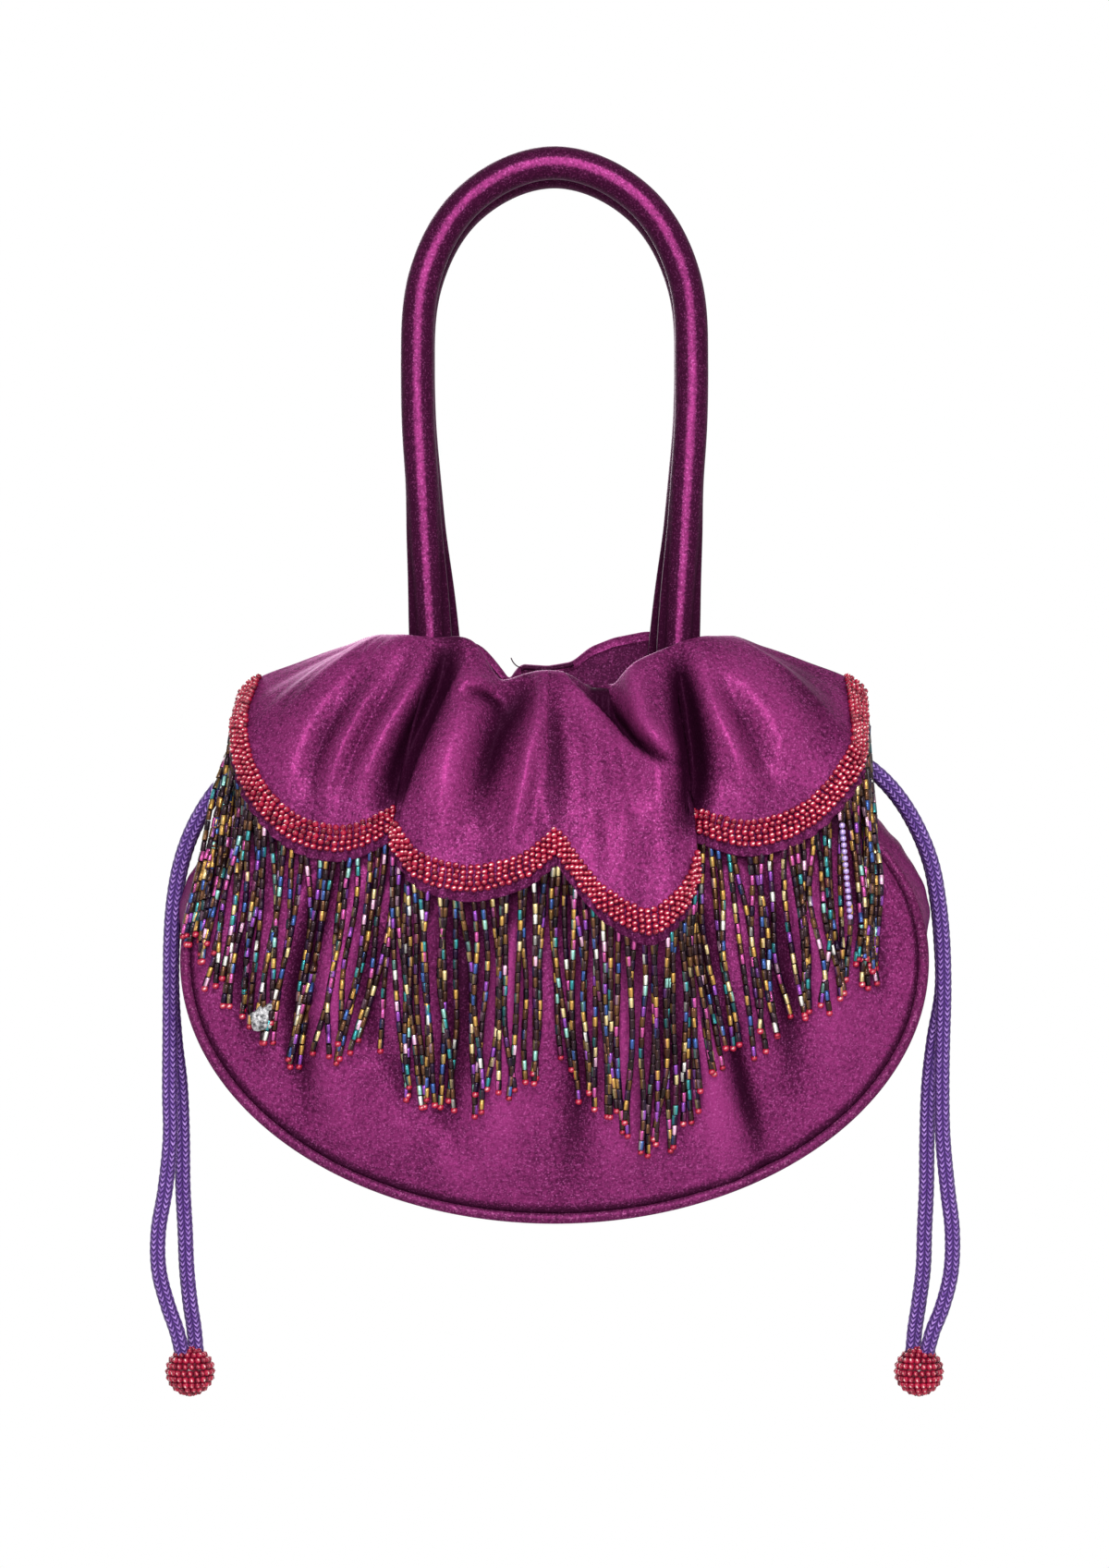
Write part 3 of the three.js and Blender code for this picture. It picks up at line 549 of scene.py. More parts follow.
# Body: a front and a back panel, gathered into the neck and drawn in at the piping, so that
# each stands full in the middle and its gathers run out as radial folds towards the base.
NECK_HALF_WIDTH = 50
NECK_HALF_DEPTH = 24
NECK_Z = -180
BODY_HALF_WIDTH = 115.5
WIDEST_Z = -244
BODY_DROP = 81
SHOULDER = (82, -184)
SIDE_PULL = 34
PIPING_RADIUS = 1.5
PANEL_INSET = 3.0
PANEL_COLUMNS = 361
PANEL_ROWS = 121
PANEL_NECK_SHARES = (0.16, 0.68)
PANEL_SEAM_SHARES = (0.03, 0.94)
PANEL_BULGE = 18
FULL_DROP = 145
PANEL_FOLDS = 9
PANEL_FOLD_DEPTH = 0.88
FINE_FOLDS = 23
FINE_DEPTH = 0.6
PULLS = 31
PULL_DEPTH = 0.5
GUSSET_HALF_WIDTH = 27
GUSSET_HALF_AT_NECK = 13
GUSSET_FULL_Z = -225
SATIN_WALL = 1.2
FOLD_SHADE = 5.5
PANEL_LIGHT = 0.16
PANEL_CONTRAST = 1.4
SEAM_SHADE = 1.0
SEAM_SPAN = (0.972, 0.992)
CREASE_POINTS = 30
FADE_START = 0.06


def eased(value, start, stop):
    """0 before start, 1 after stop, and between them the cubic step of the share of the way."""
    share = np.clip((value - start) / (stop - start), 0, 1)
    return share * share * (3 - 2 * share)


def neck_line(offset, side, shares):
    """Half the neck ring at shares of its length, left to right, at height 0.

    It is a superellipse of the third power, whose half axes are the neck's plus the offset.
    """
    angle = np.pi * (1 - np.linspace(0, 1, 721))
    reach = ((np.abs(np.cos(angle)) / (NECK_HALF_WIDTH + offset)) ** 3
             + (np.sin(angle) / (NECK_HALF_DEPTH + offset)) ** 3) ** (-1 / 3)
    ring = np.stack([reach * np.cos(angle), side * reach * np.sin(angle), 0 * angle], -1)
    return evenly(ring, shares)


def body_outline(inset, shares):
    """The body seam seen from the front, as (x, z): a shoulder, half an ellipse and a shoulder.

    Each shoulder is a Bezier cubic from the neck to the widest place.
    """
    t = np.linspace(0, 1, 200)[:, None]
    wide = BODY_HALF_WIDTH - inset
    poles = [(-(NECK_HALF_WIDTH - 2 * inset), NECK_Z), (inset - SHOULDER[0], SHOULDER[1] - 1.4 * inset),
             (-wide, WIDEST_Z + SIDE_PULL), (-wide, WIDEST_Z)]
    a, b, c, d = (np.array(pole, float) for pole in poles)
    shoulder = a * (1 - t) ** 3 + b * 3 * t * (1 - t) ** 2 + c * 3 * t ** 2 * (1 - t) + d * t ** 3
    turn = np.pi * (1 + t[1:-1])
    base = np.concatenate([wide * np.cos(turn), WIDEST_Z + (BODY_DROP - inset) * np.sin(turn)], 1)
    return evenly(np.concatenate([shoulder, base, shoulder[::-1] * (-1, 1)]), shares)


def gusset_half(z):
    """Half the gusset's width at a height: eased from narrow at the neck to full at the shoulders."""
    share = eased(z, GUSSET_FULL_Z, NECK_Z)
    return GUSSET_HALF_WIDTH + (GUSSET_HALF_AT_NECK - GUSSET_HALF_WIDTH) * share


def creased(points, creases, side):
    """Cloth pushed out or in along creases that are seen from the front, and its folds' painted shades.

    A crease has a kind, a width, a height and the (x, z) knots of its line. A fold is a bell curve
    across its line, and a lap stands up on the right of its line and drops steeply on the left.
    Both fade at their ends by a sine of the share of the line.
    """
    flat = points.reshape(-1, 3)
    lift = np.zeros(len(flat))
    for kind, width, height, knots in creases:
        line = drawn_line(knots, 60, CREASE_POINTS)
        apart = flat[:, None, ::2] - line[None]
        gap = np.linalg.norm(apart, axis=-1)
        near = np.argmin(gap, 1)
        gap = gap[np.arange(len(flat)), near]
        share = FADE_START + (1 - 2 * FADE_START) * near / (CREASE_POINTS - 1)
        fade = np.sin(np.pi * share) ** 0.7
        if kind == "fold":
            lift += fade * height * np.exp(-(gap / width) ** 2)
        else:
            along = np.gradient(line, axis=0)[near]
            offset = apart[np.arange(len(flat)), near]
            on_right = offset[:, 0] * along[:, 1] - offset[:, 1] * along[:, 0] > 0
            right, left = np.exp(-gap / width), -0.5 * np.exp(-gap / (0.6 * width))
            lift += fade * height * np.where(on_right, right, left)
    flat = flat + np.stack([0 * lift, side * lift, 0 * lift], -1)
    return flat.reshape(points.shape), (lift / FOLD_SHADE).reshape(points.shape[:2])


BELLY_CREASES = [
    ("fold", 4.6, -5.2, [(-67, -214), (-75, -237), (-79, -261), (-76, -288)]),
    ("fold", 6.0, 3.2, [(-60, -218), (-68, -250), (-69, -275), (-62, -300)]),
    ("fold", 4.0, -3.4, [(-52, -232), (-57, -252), (-57, -272)]),
    ("fold", 6.0, -3.8, [(-24, -222), (-29, -261), (-36, -300)]),
    ("fold", 7.0, 4.2, [(-13, -235), (-15, -265), (-17, -304)]),
    ("fold", 5.0, 3.2, [(-48, -285), (-40, -298), (-31, -310)]),
    ("fold", 3.4, -5.0, [(52, -256), (57, -280), (64, -305)]),
    ("fold", 5.6, 3.6, [(44, -252), (48, -280), (53, -308)]),
    ("fold", 5.0, -3.0, [(9, -262), (7, -288), (4, -310)]),
    ("fold", 4.0, -3.6, [(44, -218), (47, -245), (49, -262)]),
    ("fold", 4.6, -4.2, [(64, -212), (70, -250), (74, -282)]),
    ("fold", 6.0, 3.2, [(76, -216), (83, -245), (86, -272)]),
    ("fold", 4.0, -3.0, [(-50, -270), (-45, -288), (-37, -308)]),
    ("fold", 5.0, -3.2, [(-90, -218), (-97, -243), (-94, -270)]),
    ("fold", 4.6, -3.4, [(88, -208), (97, -232), (101, -256)]),
    ("fold", 6.0, 3.6, [(20, -240), (21, -274), (19, -306)]),
    ("fold", 4.0, -3.0, [(33, -246), (36, -272), (38, -300)]),
]
BACK_CREASES = [
    ("fold", 5.0, -3.8, [(70, -212), (77, -237), (80, -265)]),
    ("fold", 6.0, 2.7, [(58, -215), (63, -245), (62, -285)]),
    ("fold", 5.0, -3.5, [(30, -215), (36, -250), (40, -290)]),
    ("fold", 6.0, 2.7, [(10, -215), (9, -250), (6, -296)]),
    ("fold", 5.0, -3.5, [(-14, -218), (-18, -255), (-23, -296)]),
    ("fold", 6.0, 2.7, [(-40, -212), (-47, -245), (-50, -282)]),
    ("fold", 5.0, -3.8, [(-66, -210), (-76, -240), (-79, -270)]),
    ("fold", 5.0, 2.4, [(-86, -214), (-96, -240), (-95, -262)]),
]


def panel_points(side):
    """A grid of cloth from the neck to the piping, and its folds' painted shades.

    Straight lines from the one to the other are bulged by a sine of v and rippled by cosines of u:
    broad gathers, fine ones below the neck, and pulls above the piping.
    """
    u = np.linspace(0, 1, PANEL_COLUMNS)
    v = np.linspace(0, 1, PANEL_ROWS)[:, None]
    top = neck_line(0, side, PANEL_NECK_SHARES[0] + PANEL_NECK_SHARES[1] * u)
    top[:, 2] = NECK_Z
    seam = body_outline(PANEL_INSET, PANEL_SEAM_SHARES[0] + PANEL_SEAM_SHARES[1] * u)
    edge = np.stack([seam[:, 0], side * gusset_half(seam[:, 1]), seam[:, 1]], -1)
    full = np.minimum(1, np.linalg.norm(edge - top, axis=1) / FULL_DROP)[None]
    points = top[None] + (edge - top)[None] * v[..., None]
    swell = PANEL_BULGE * full * np.sin(np.pi * v) ** 0.8
    gathers = np.cos(2 * np.pi * PANEL_FOLDS * u) * np.sin(np.pi * v ** 0.6)
    fine = np.cos(2 * np.pi * (FINE_FOLDS * u + 0.4 * np.sin(9 * u)))
    fine = fine * np.sin(np.pi * v ** 0.45) * (1 - v) ** 0.7
    pulls = np.cos(2 * np.pi * (PULLS * u + 0.6 * np.sin(5 * u + side))) * v ** 3 * np.sin(np.pi * v)
    ripples = PANEL_FOLD_DEPTH * gathers + FINE_DEPTH * fine + PULL_DEPTH * pulls
    points[..., 1] += side * (swell + full * ripples)
    return creased(points, BELLY_CREASES if side < 0 else BACK_CREASES, side)


panels = {}
# The panels' fold shades are strengthened and lifted by a painted light, and a painted shade darkens the
# rows beside the piping.
seam_rows = eased(np.linspace(0, 1, PANEL_ROWS)[:, None], *SEAM_SPAN)
for name, side in [("front_panel", -1), ("back_panel", 1)]:
    points, fold_shades = panel_points(side)
    panels[side] = points
    panel = sewn(name + "_satin", points, satin, flip=side < 0, wall=SATIN_WALL,
                 fold_shades=fold_shades * PANEL_CONTRAST + PANEL_LIGHT - SEAM_SHADE * seam_rows)
    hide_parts(name)

# Gusset: one strip of the same satin between the two panels, from the neck down one side, under
# the base and up the other side. It stands out a little over the shoulders, and its seams pucker it.
GUSSET_COLUMNS = 421
GUSSET_ROWS = 31
GUSSET_BULGE = 1.2
SHOULDER_BULGE = 5
SHOULDER_TOP = (180, 196)
PUCKERS = [(0.15, 46, 0), (0.12, 71, 1)]
u = np.linspace(0, 1, GUSSET_COLUMNS)
seam = body_outline(PIPING_RADIUS, u)
tangent = unit(np.gradient(seam, axis=0))
across = np.linspace(-1, 1, GUSSET_ROWS)[:, None]
shoulder = eased(seam[:, 1], WIDEST_Z, GUSSET_FULL_Z) * eased(-seam[:, 1], *SHOULDER_TOP)
bulge = GUSSET_BULGE + SHOULDER_BULGE * shoulder
bulge = bulge + sum(deep * np.cos(2 * np.pi * count * u + phase) for deep, count, phase in PUCKERS)
bulge = bulge * (1 - across ** 2)
half = gusset_half(seam[:, 1]) - PIPING_RADIUS
gusset_points = np.stack([seam[:, 0] + tangent[:, 1] * bulge, across * half,
                          seam[:, 1] - tangent[:, 0] * bulge], -1)
gusset = sewn("gusset_satin", gusset_points, satin, wall=SATIN_WALL)
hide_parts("gusset")

# Piping: a cord covered with the same satin on the bias, sewn into the seam round each panel.
# Its satin is a darker copy of the body's, a painted shade for cloth stretched over the cord and
# turned out of the light.
PIPING_ROUND = 1.75
PIPING_RINGS = 400
PIPING_SIDES = 14
PIPING_SHADED_DEEP = (0.05, 0.006, 0.03, 1)
PIPING_SHADED_FACE = (0.17, 0.02, 0.10, 1)
PIPING_SHADED_SHEEN = (0.42, 0.14, 0.30, 1)
piping_satin = satin_finish("piping_satin", PIPING_SHADED_DEEP, PIPING_SHADED_FACE, PIPING_SHADED_SHEEN)
for name, side in [("front_piping", -1), ("back_piping", 1)]:
    seam = body_outline(PIPING_RADIUS, np.linspace(0, 1, PIPING_RINGS))
    line = np.stack([seam[:, 0], side * gusset_half(seam[:, 1]), seam[:, 1]], -1)
    piping = sewn(name + "_bias", tube(line, PIPING_ROUND, PIPING_SIDES), piping_satin, ring=True)
    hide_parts(name)


# Neck casing: a gathered sleeve of satin in two halves, round the neck under the ruffle.
# The two drawstrings run inside it and come out at its open sides.
CASING_Z = -169
CASING_TALL = 9.5
CASING_DEEP = 4
CASING_GAP = 8.5
CASING_SHADE = -1
CASING_RINGS = 221
CASING_SIDES = 20
CASING_SQUARE = 2.6
CASING_GATHERS = 30
GATHER_DEEP = 0.9
for name, side in [("front_neck_casing", -1), ("back_neck_casing", 1)]:
    gap = CASING_GAP / line_length(neck_line(0, side, np.linspace(0, 1, 800)))
    along = np.linspace(0, 1, CASING_RINGS)
    centre = neck_line(0, side, gap + (1 - 2 * gap) * along)
    centre[:, 2] = CASING_Z
    gather = GATHER_DEEP * (0.5 - 0.5 * np.cos(2 * np.pi * CASING_GATHERS * along))[:, None]
    angle = around_angles(CASING_SIDES)
    wide, tall = np.abs(np.cos(angle)) ** CASING_SQUARE, np.abs(np.sin(angle)) ** CASING_SQUARE
    squash = (wide + tall) ** (-1 / CASING_SQUARE)
    out = CASING_DEEP * squash * np.cos(angle) + gather * np.maximum(np.cos(angle), 0)
    up = CASING_TALL * squash * np.sin(angle) + 0 * gather
    tangent = unit(np.gradient(centre, axis=0))
    away = np.stack([tangent[:, 1], -tangent[:, 0], 0 * along], -1) * -side
    shell = centre[:, None] + away[:, None] * out[..., None]
    shell[..., 2] += up
    # A painted shade darkens the casing's satin all over.
    casing = sewn(name + "_satin", shell, satin, ring=True, fold_shades=np.full(shell.shape[:2], CASING_SHADE))
    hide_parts(name)


# Drawstrings: each is one loop of the same violet braid inside the casing, from its own side of
# the bag round the neck and back, where it goes on as the two free strands.
LOOP_KNOTS = 16
LOOP_START = 52.4
LOOP_RADIUS = 2.2
LOOP_SIDES = 12
LOOP_RINGS = 300
for name, hand in [("left_drawstring", -1), ("right_drawstring", 1)]:
    height = CORD_EXIT[1] if hand < 0 else CORD_EXIT[2]
    shares = np.arange(1, LOOP_KNOTS + 1) / (LOOP_KNOTS + 1)
    if hand > 0:
        shares = shares[::-1]
    front = neck_line(0, -1, shares)
    back = neck_line(0, 1, shares[::-1])
    start = np.array([[hand * LOOP_START, -CORD_SPACING, 0]])
    far = np.array([[-hand * NECK_HALF_WIDTH, 0, 0]])
    knots = np.concatenate([start, front, far, back, start * (1, -1, 1)])
    knots[:, 2] = height
    rings = tube(drawn_line(knots, 900, LOOP_RINGS), LOOP_RADIUS, LOOP_SIDES, across=(0, 0, 1))
    loop = sewn(name + "_braid", rings, cord_finish, ring=True)
    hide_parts(name)


# Ruffle: the cloth goes on above the casing, rolls over the crest and falls as four scallops in
# front and four behind. Its gathers open into folds that deepen towards the beaded hem.
CASING_TOP = -159.5
LIP_GAP = 0.6
CREST_FLARE = 3.5
CREST_BLUR = 1.5
CREST_LINES = {
    -1: [(-46, -143.5), (-37, -144.6), (-30, -144.0), (-26, -145), (-23.6, -147.5), (-20.6, -153),
         (-17.5, -158), (-13.5, -157.4), (-10, -156), (-5, -154.8), (1, -154.6), (5.7, -156.5),
         (10, -159.8), (13, -162), (16, -163), (19, -160.5), (21.5, -155.5), (25, -152), (28.7, -150.2),
         (33, -148.4), (40, -145.5), (46, -143.9)],
    1: [(-46, -143.5), (-36, -144.5), (-29, -143.8), (-24.5, -145), (-21.6, -147.5), (-17.5, -152.5),
        (-14.4, -157), (-10.9, -151.4), (-2, -152), (5.9, -150.6), (11.7, -145.9), (19, -143.0),
        (29.3, -141.0), (36, -141.6), (46, -143.6)],
}
RUFFLE_COLUMNS = (140, 100, 100, 140)
RUFFLE_ROWS = 101
RUFFLE_FOLDS = 12
RUFFLE_FOLD_DEPTH = 0.42
RUFFLE_FINE_FOLDS = 31
RUFFLE_FINE_DEPTH = 0.12
RUFFLE_ARCH = 0.09
END_FLATTENING = 0.75
SHOULDER_SHARE = 0.3
DRAPE_SHARE = 0.62
NECK_SHARES = (0, 0.26, 0.5, 0.75, 1)
FOLD_SHARE = 0.012
HEM_BELOW = 7
HEM_BUMP = 0.7
HEM_BUMP_PITCH = 5.4
HEM_SHADE = 0.42
HEM_SHADE_SPAN = (0.76, 0.84)
PUCKER_SPAN = (0.84, 1)
SCALLOP_HEMS = [
    [(-95, -1, -158), (-97.5, -20, -172), (-92, -34, -190), (-79, -41, -203), (-64, -44, -206),
     (-45, -45, -198)],
    [(-49, -52, -204), (-41, -56, -214), (-25, -58, -218), (-9, -59, -214), (0.5, -60, -207)],
    [(0.5, -60, -207), (16, -62, -225), (29, -62, -231), (38, -59, -224), (43, -54, -214)],
    [(39, -47, -199), (59, -45, -204.5), (77, -40, -199), (91, -34, -184), (94, -20, -171), (94, -1, -158)],
]


def crest_height(x, side):
    """The crest's height: nearly level over the sides, with an uneven notch between the handles,
    and in front a narrow pocket at its right end.

    It is the mean of straight runs through the crest's points at a few places close together.
    """
    spread = np.linspace(-CREST_BLUR, CREST_BLUR, 7)
    return np.mean([np.interp(x + shift, *np.transpose(CREST_LINES[side])) for shift in spread], 0)


RUFFLE_CREASES = [
    ("fold", 5.0, 3.1, [(-53, -146), (-63, -152), (-73, -164), (-81, -181), (-82, -193)]),
    ("fold", 3.2, -3.2, [(-53, -152), (-63, -164), (-72, -180), (-75, -193)]),
    ("fold", 4.0, 3.1, [(-48, -147), (-57, -159), (-65, -176), (-70, -192)]),
    ("fold", 3.4, -3.8, [(-43, -148), (-49, -160), (-58, -174), (-66, -192)]),
    ("fold", 5.0, 4.8, [(-39, -146), (-45, -159), (-53, -173), (-61, -190)]),
    ("fold", 5.2, -12.0, [(-33, -146), (-36, -160), (-43, -176), (-50, -195)]),
    ("fold", 2.0, 2.6, [(-30, -159), (-26, -157.5), (-22, -158.5), (-18.5, -161.5)]),
    ("fold", 1.8, -5.0, [(-27, -162), (-23, -162), (-19, -164.5), (-17, -168)]),
    ("lap", 6.0, 3.4, [(-47, -200), (-42, -184), (-36, -169), (-29, -155)]),
    ("fold", 5.4, 4.2, [(-25, -158), (-28, -171), (-32, -184), (-34, -201)]),
    ("fold", 4.6, -6.4, [(-6.4, -157), (-11.5, -165.7), (-17, -174.8), (-20, -184.4), (-23, -196)]),
    ("fold", 3.0, 4.6, [(-3.6, -154), (-4.8, -166.7), (-7, -176.8), (-9.2, -187), (-12, -199.5),
                        (-13.5, -207)]),
    ("lap", 2.6, 1.8, [(-2.0, -154), (-2.4, -166.7), (-2.2, -176.8), (-2.4, -187)]),
    ("fold", 3.2, -4.0, [(-0.6, -158), (-0.4, -168), (0.4, -178), (0.6, -188), (0.6, -200)]),
    ("fold", 8.0, 2.8, [(30, -185), (24.4, -197), (20.9, -207), (19.4, -219)]),
    ("lap", 5.0, 5.6, [(1, -153), (7, -160), (16, -169), (23, -177), (30, -182), (36, -184)]),
    ("fold", 2.6, -6.5, [(12, -160), (16.5, -166), (21, -171.5), (26, -177), (33, -182)]),
    ("fold", 3.4, 6.4, [(23.4, -153), (24.8, -162), (27, -170), (32, -176), (36.5, -180)]),
    ("fold", 4.6, -14.0, [(38.5, -152), (41, -170), (42.5, -187), (41, -200)]),
    ("fold", 4.6, 5.0, [(43, -150), (49, -164), (55, -176), (60, -190)]),
    ("fold", 4.2, -4.2, [(50, -157), (57, -170), (64, -186)]),
    ("fold", 7.4, 3.8, [(50, -149), (62, -158), (71, -170), (75, -184)]),
    ("fold", 5.6, -2.6, [(66, -152), (79, -164), (86, -178)]),
]
BACK_RUFFLE_CREASES = [
    ("fold", 5.0, 3.4, [(52, -146), (63, -153), (74, -166), (80, -183)]),
    ("fold", 3.9, -3.6, [(46, -148), (54, -162), (63, -178), (66, -192)]),
    ("fold", 4.7, 4.2, [(39, -148), (46, -164), (53, -178), (56, -192)]),
    ("fold", 4.5, -5.6, [(32, -148), (38, -166), (43, -186)]),
    ("fold", 5.6, 3.6, [(22, -152), (26, -172), (27, -200)]),
    ("fold", 5.0, -4.2, [(10, -152), (13, -174), (15, -200)]),
    ("fold", 5.0, 3.6, [(0, -154), (0, -178), (0, -198)]),
    ("fold", 5.0, -4.2, [(-11, -156), (-15, -176), (-18, -198)]),
    ("fold", 5.0, 3.6, [(-22, -153), (-28, -172), (-31, -196)]),
    ("fold", 4.5, -5.6, [(-32, -148), (-38, -164), (-44, -184)]),
    ("fold", 5.0, 4.2, [(-42, -146), (-50, -160), (-58, -178), (-61, -192)]),
    ("fold", 4.5, -3.6, [(-52, -148), (-62, -160), (-71, -178), (-74, -192)]),
    ("fold", 5.6, 3.4, [(-62, -148), (-74, -158), (-83, -172), (-86, -184)]),
]


def ruffle_knots(side, scallop, along):
    """The six knots of the cloth's profile at places along one scallop, and its hem's pucker.

    The knots are lip, crest, shoulder, drape, the middle of the bead band, and the edge of the hem
    below it. The shoulder and the drape are lifted off the straight line by an arch and the
    gathers, which are cosines of the share of the neck. The pucker is a cosine of the run along
    the hem.
    """
    start = NECK_SHARES[scallop] + (FOLD_SHARE if scallop > 0 else 0)
    stop = NECK_SHARES[scallop + 1] - (FOLD_SHARE if scallop < 3 else 0)
    share = start + (stop - start) * along
    lip = neck_line(0, side, share)
    lip[:, 2] = CASING_TOP + LIP_GAP
    crest = neck_line(CREST_FLARE, side, share)
    crest[:, 2] = crest_height(crest[:, 0], side)
    hem = smooth_line(SCALLOP_HEMS[scallop], along) * (1, -side, 1)
    chord = hem - crest
    level = np.hypot(chord[:, 0], chord[:, 1])
    length = np.linalg.norm(chord, axis=1)
    rise = np.stack([-chord[:, 0] * chord[:, 2] / level, -chord[:, 1] * chord[:, 2] / level, level], -1)
    rise = rise / length[:, None]
    gather = RUFFLE_FOLD_DEPTH * np.cos(2 * np.pi * RUFFLE_FOLDS * share)
    wander = 0.5 * np.sin(14 * share + side)
    fine = RUFFLE_FINE_DEPTH * np.cos(2 * np.pi * (RUFFLE_FINE_FOLDS * share + wander))
    out_end = {0: 1 - along, 3: along}.get(scallop, 0 * along)
    arch = RUFFLE_ARCH * length * (1 - END_FLATTENING * eased(out_end, 0.6, 1))
    shoulder = crest + chord * SHOULDER_SHARE + rise * (arch + gather + fine)[:, None]
    drape = crest + chord * DRAPE_SHARE + rise * (arch + gather * 0.9 + fine)[:, None]
    hem = hem + rise * (gather * 0.5 + fine * 0.5)[:, None]
    run = line_length(hem) * along
    pucker = HEM_BUMP * np.cos(2 * np.pi * run / HEM_BUMP_PITCH)[:, None]
    fall = unit(unit(hem - drape) + (0, 0, -1))
    knots = np.stack([lip, crest, shoulder, drape, hem, hem + fall * HEM_BELOW])
    knots[..., 1] += side * 0.5
    return knots, (0.5 * fall + rise) * pucker


scallops = {}
down = np.linspace(0, 1, RUFFLE_ROWS)
for name, side in [("front_ruffle", -1), ("back_ruffle", 1)]:
    parts = []
    for scallop, columns in enumerate(RUFFLE_COLUMNS):
        knots, pucker = ruffle_knots(side, scallop, np.linspace(0, 1, columns))
        parts.append(smooth_line(knots, down) + eased(down, *PUCKER_SPAN)[:, None, None] * pucker)
    creases = RUFFLE_CREASES if side < 0 else BACK_RUFFLE_CREASES
    cloth, fold_shades = creased(np.concatenate(parts, 1), creases, side)
    # A painted shade darkens the cloth under the bead band and the hem roll below it.
    fold_shades = fold_shades - HEM_SHADE * eased(down, *HEM_SHADE_SPAN)[:, None]
    for scallop, part in enumerate(np.split(cloth, np.cumsum(RUFFLE_COLUMNS)[:-1], 1)):
        scallops[side, scallop] = part
    ruffle = sewn(name + "_satin", cloth, satin, flip=side > 0, wall=SATIN_WALL, fold_shades=fold_shades)
    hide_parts(name)


# Facing: a strip of the same satin sewn inside the mouth, behind the crest of the ruffle. It is
# turned away from the light, and its satin gets a painted shade.
FACING_SHADE = -0.6
FACING_COLUMNS = 221
FACING_ROWS = 9
FACING_FOOT_IN = -1.6
FACING_TOP_IN = -0.6
FACING_BELOW = 2.5
FACING_WALL = 0.8
for name, side in [("front_mouth_facing", -1), ("back_mouth_facing", 1)]:
    share = np.linspace(0, 1, FACING_COLUMNS)
    low = neck_line(FACING_FOOT_IN, side, share)
    low[:, 2] = CASING_TOP + LIP_GAP
    high = neck_line(FACING_TOP_IN, side, share)
    high[:, 2] = crest_height(high[:, 0], side) - FACING_BELOW
    strip = low[None] + (high - low)[None] * np.linspace(0, 1, FACING_ROWS)[:, None, None]
    shaded = np.full(strip.shape[:2], FACING_SHADE)
    facing = sewn(name + "_satin", strip, satin, flip=side > 0, wall=FACING_WALL, fold_shades=shaded)
    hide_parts(name)


# Edge binding: the raw edge of the back facing is overcast with thread where it shows in the
# notch, and the thread's end stands off it in a small curl. It has the piping's darker satin and a
# painted shade on top, both for the shade of the notch.
BINDING_SPAN = (-10.5, 6)
BINDING_BELOW = 0.6
BINDING_RADIUS = 0.75
STITCH_SWELL = 0.12
BINDING_SIDES = 10
BINDING_SHADE = -0.7
THREAD_RADIUS = 0.2
THREAD_RINGS = 24
THREAD_END = [(-10.5, -152.2), (-12, -151.6), (-13.2, -150.4), (-13.9, -149)]
x = np.linspace(*BINDING_SPAN, 40)
ring = neck_line(FACING_TOP_IN, 1, np.linspace(0, 1, 400))
y = np.interp(x, ring[:, 0], ring[:, 1])
line = np.stack([x, y, crest_height(x, 1) - BINDING_BELOW], -1)
curl = np.array([(cx, y[0], cz) for cx, cz in THREAD_END])[::-1]
line = np.concatenate([smooth_line(curl, np.linspace(0, 0.98, THREAD_RINGS)), line])
stitches = BINDING_RADIUS * (1 + STITCH_SWELL * np.cos(6 * x))
radius = np.concatenate([np.full(THREAD_RINGS, THREAD_RADIUS), stitches])
rings = tube(line, radius[:, None], BINDING_SIDES)
binding = sewn("back_edge_binding", rings, piping_satin, ring=True,
               fold_shades=np.full(rings.shape[:2], BINDING_SHADE))


# Handles: two stuffed tubes of satin, sewn into the front and the back of the casing. Their seam
# allowances stand out at both sides near the feet, each beside a dark seam. The stuffing holds the
# cloth taut; the satin gets a painted shade all round and a painted highlight in one narrow line
# along the tube's front and back.
HANDLE_RADIUS = 5.2
HANDLE_HALF_SPAN = 43
HANDLE_FOOT = (8.4, -166)
HANDLE_TOP_Y = 5.6
HANDLE_RISE = 171.4
BACK_SAG = 1.4
BACK_FOOT_IN = 3
HANDLE_SHAPE = [
    (0.898, 0), (0.898, 0.105), (0.953, 0.356), (1, 0.63), (0.944, 0.793), (0.698, 0.913), (0.36, 0.978),
    (0, 1),
]
HANDLE_RINGS = 320
HANDLE_SIDES = 40
FOOT_NARROWING = 0.16
STUFFING_LUMPS = 0.012
WELT_SPAN = (-150, -90)
WELT_WIDTH = 2.4
WELT_EDGE = 0.004
SEAM_AT = 0.93
SEAM_WIDTH = 0.035
HANDLE_SHADE = -0.7
HANDLE_GLEAM = 1.2
GLEAM_WIDTH = 0.035
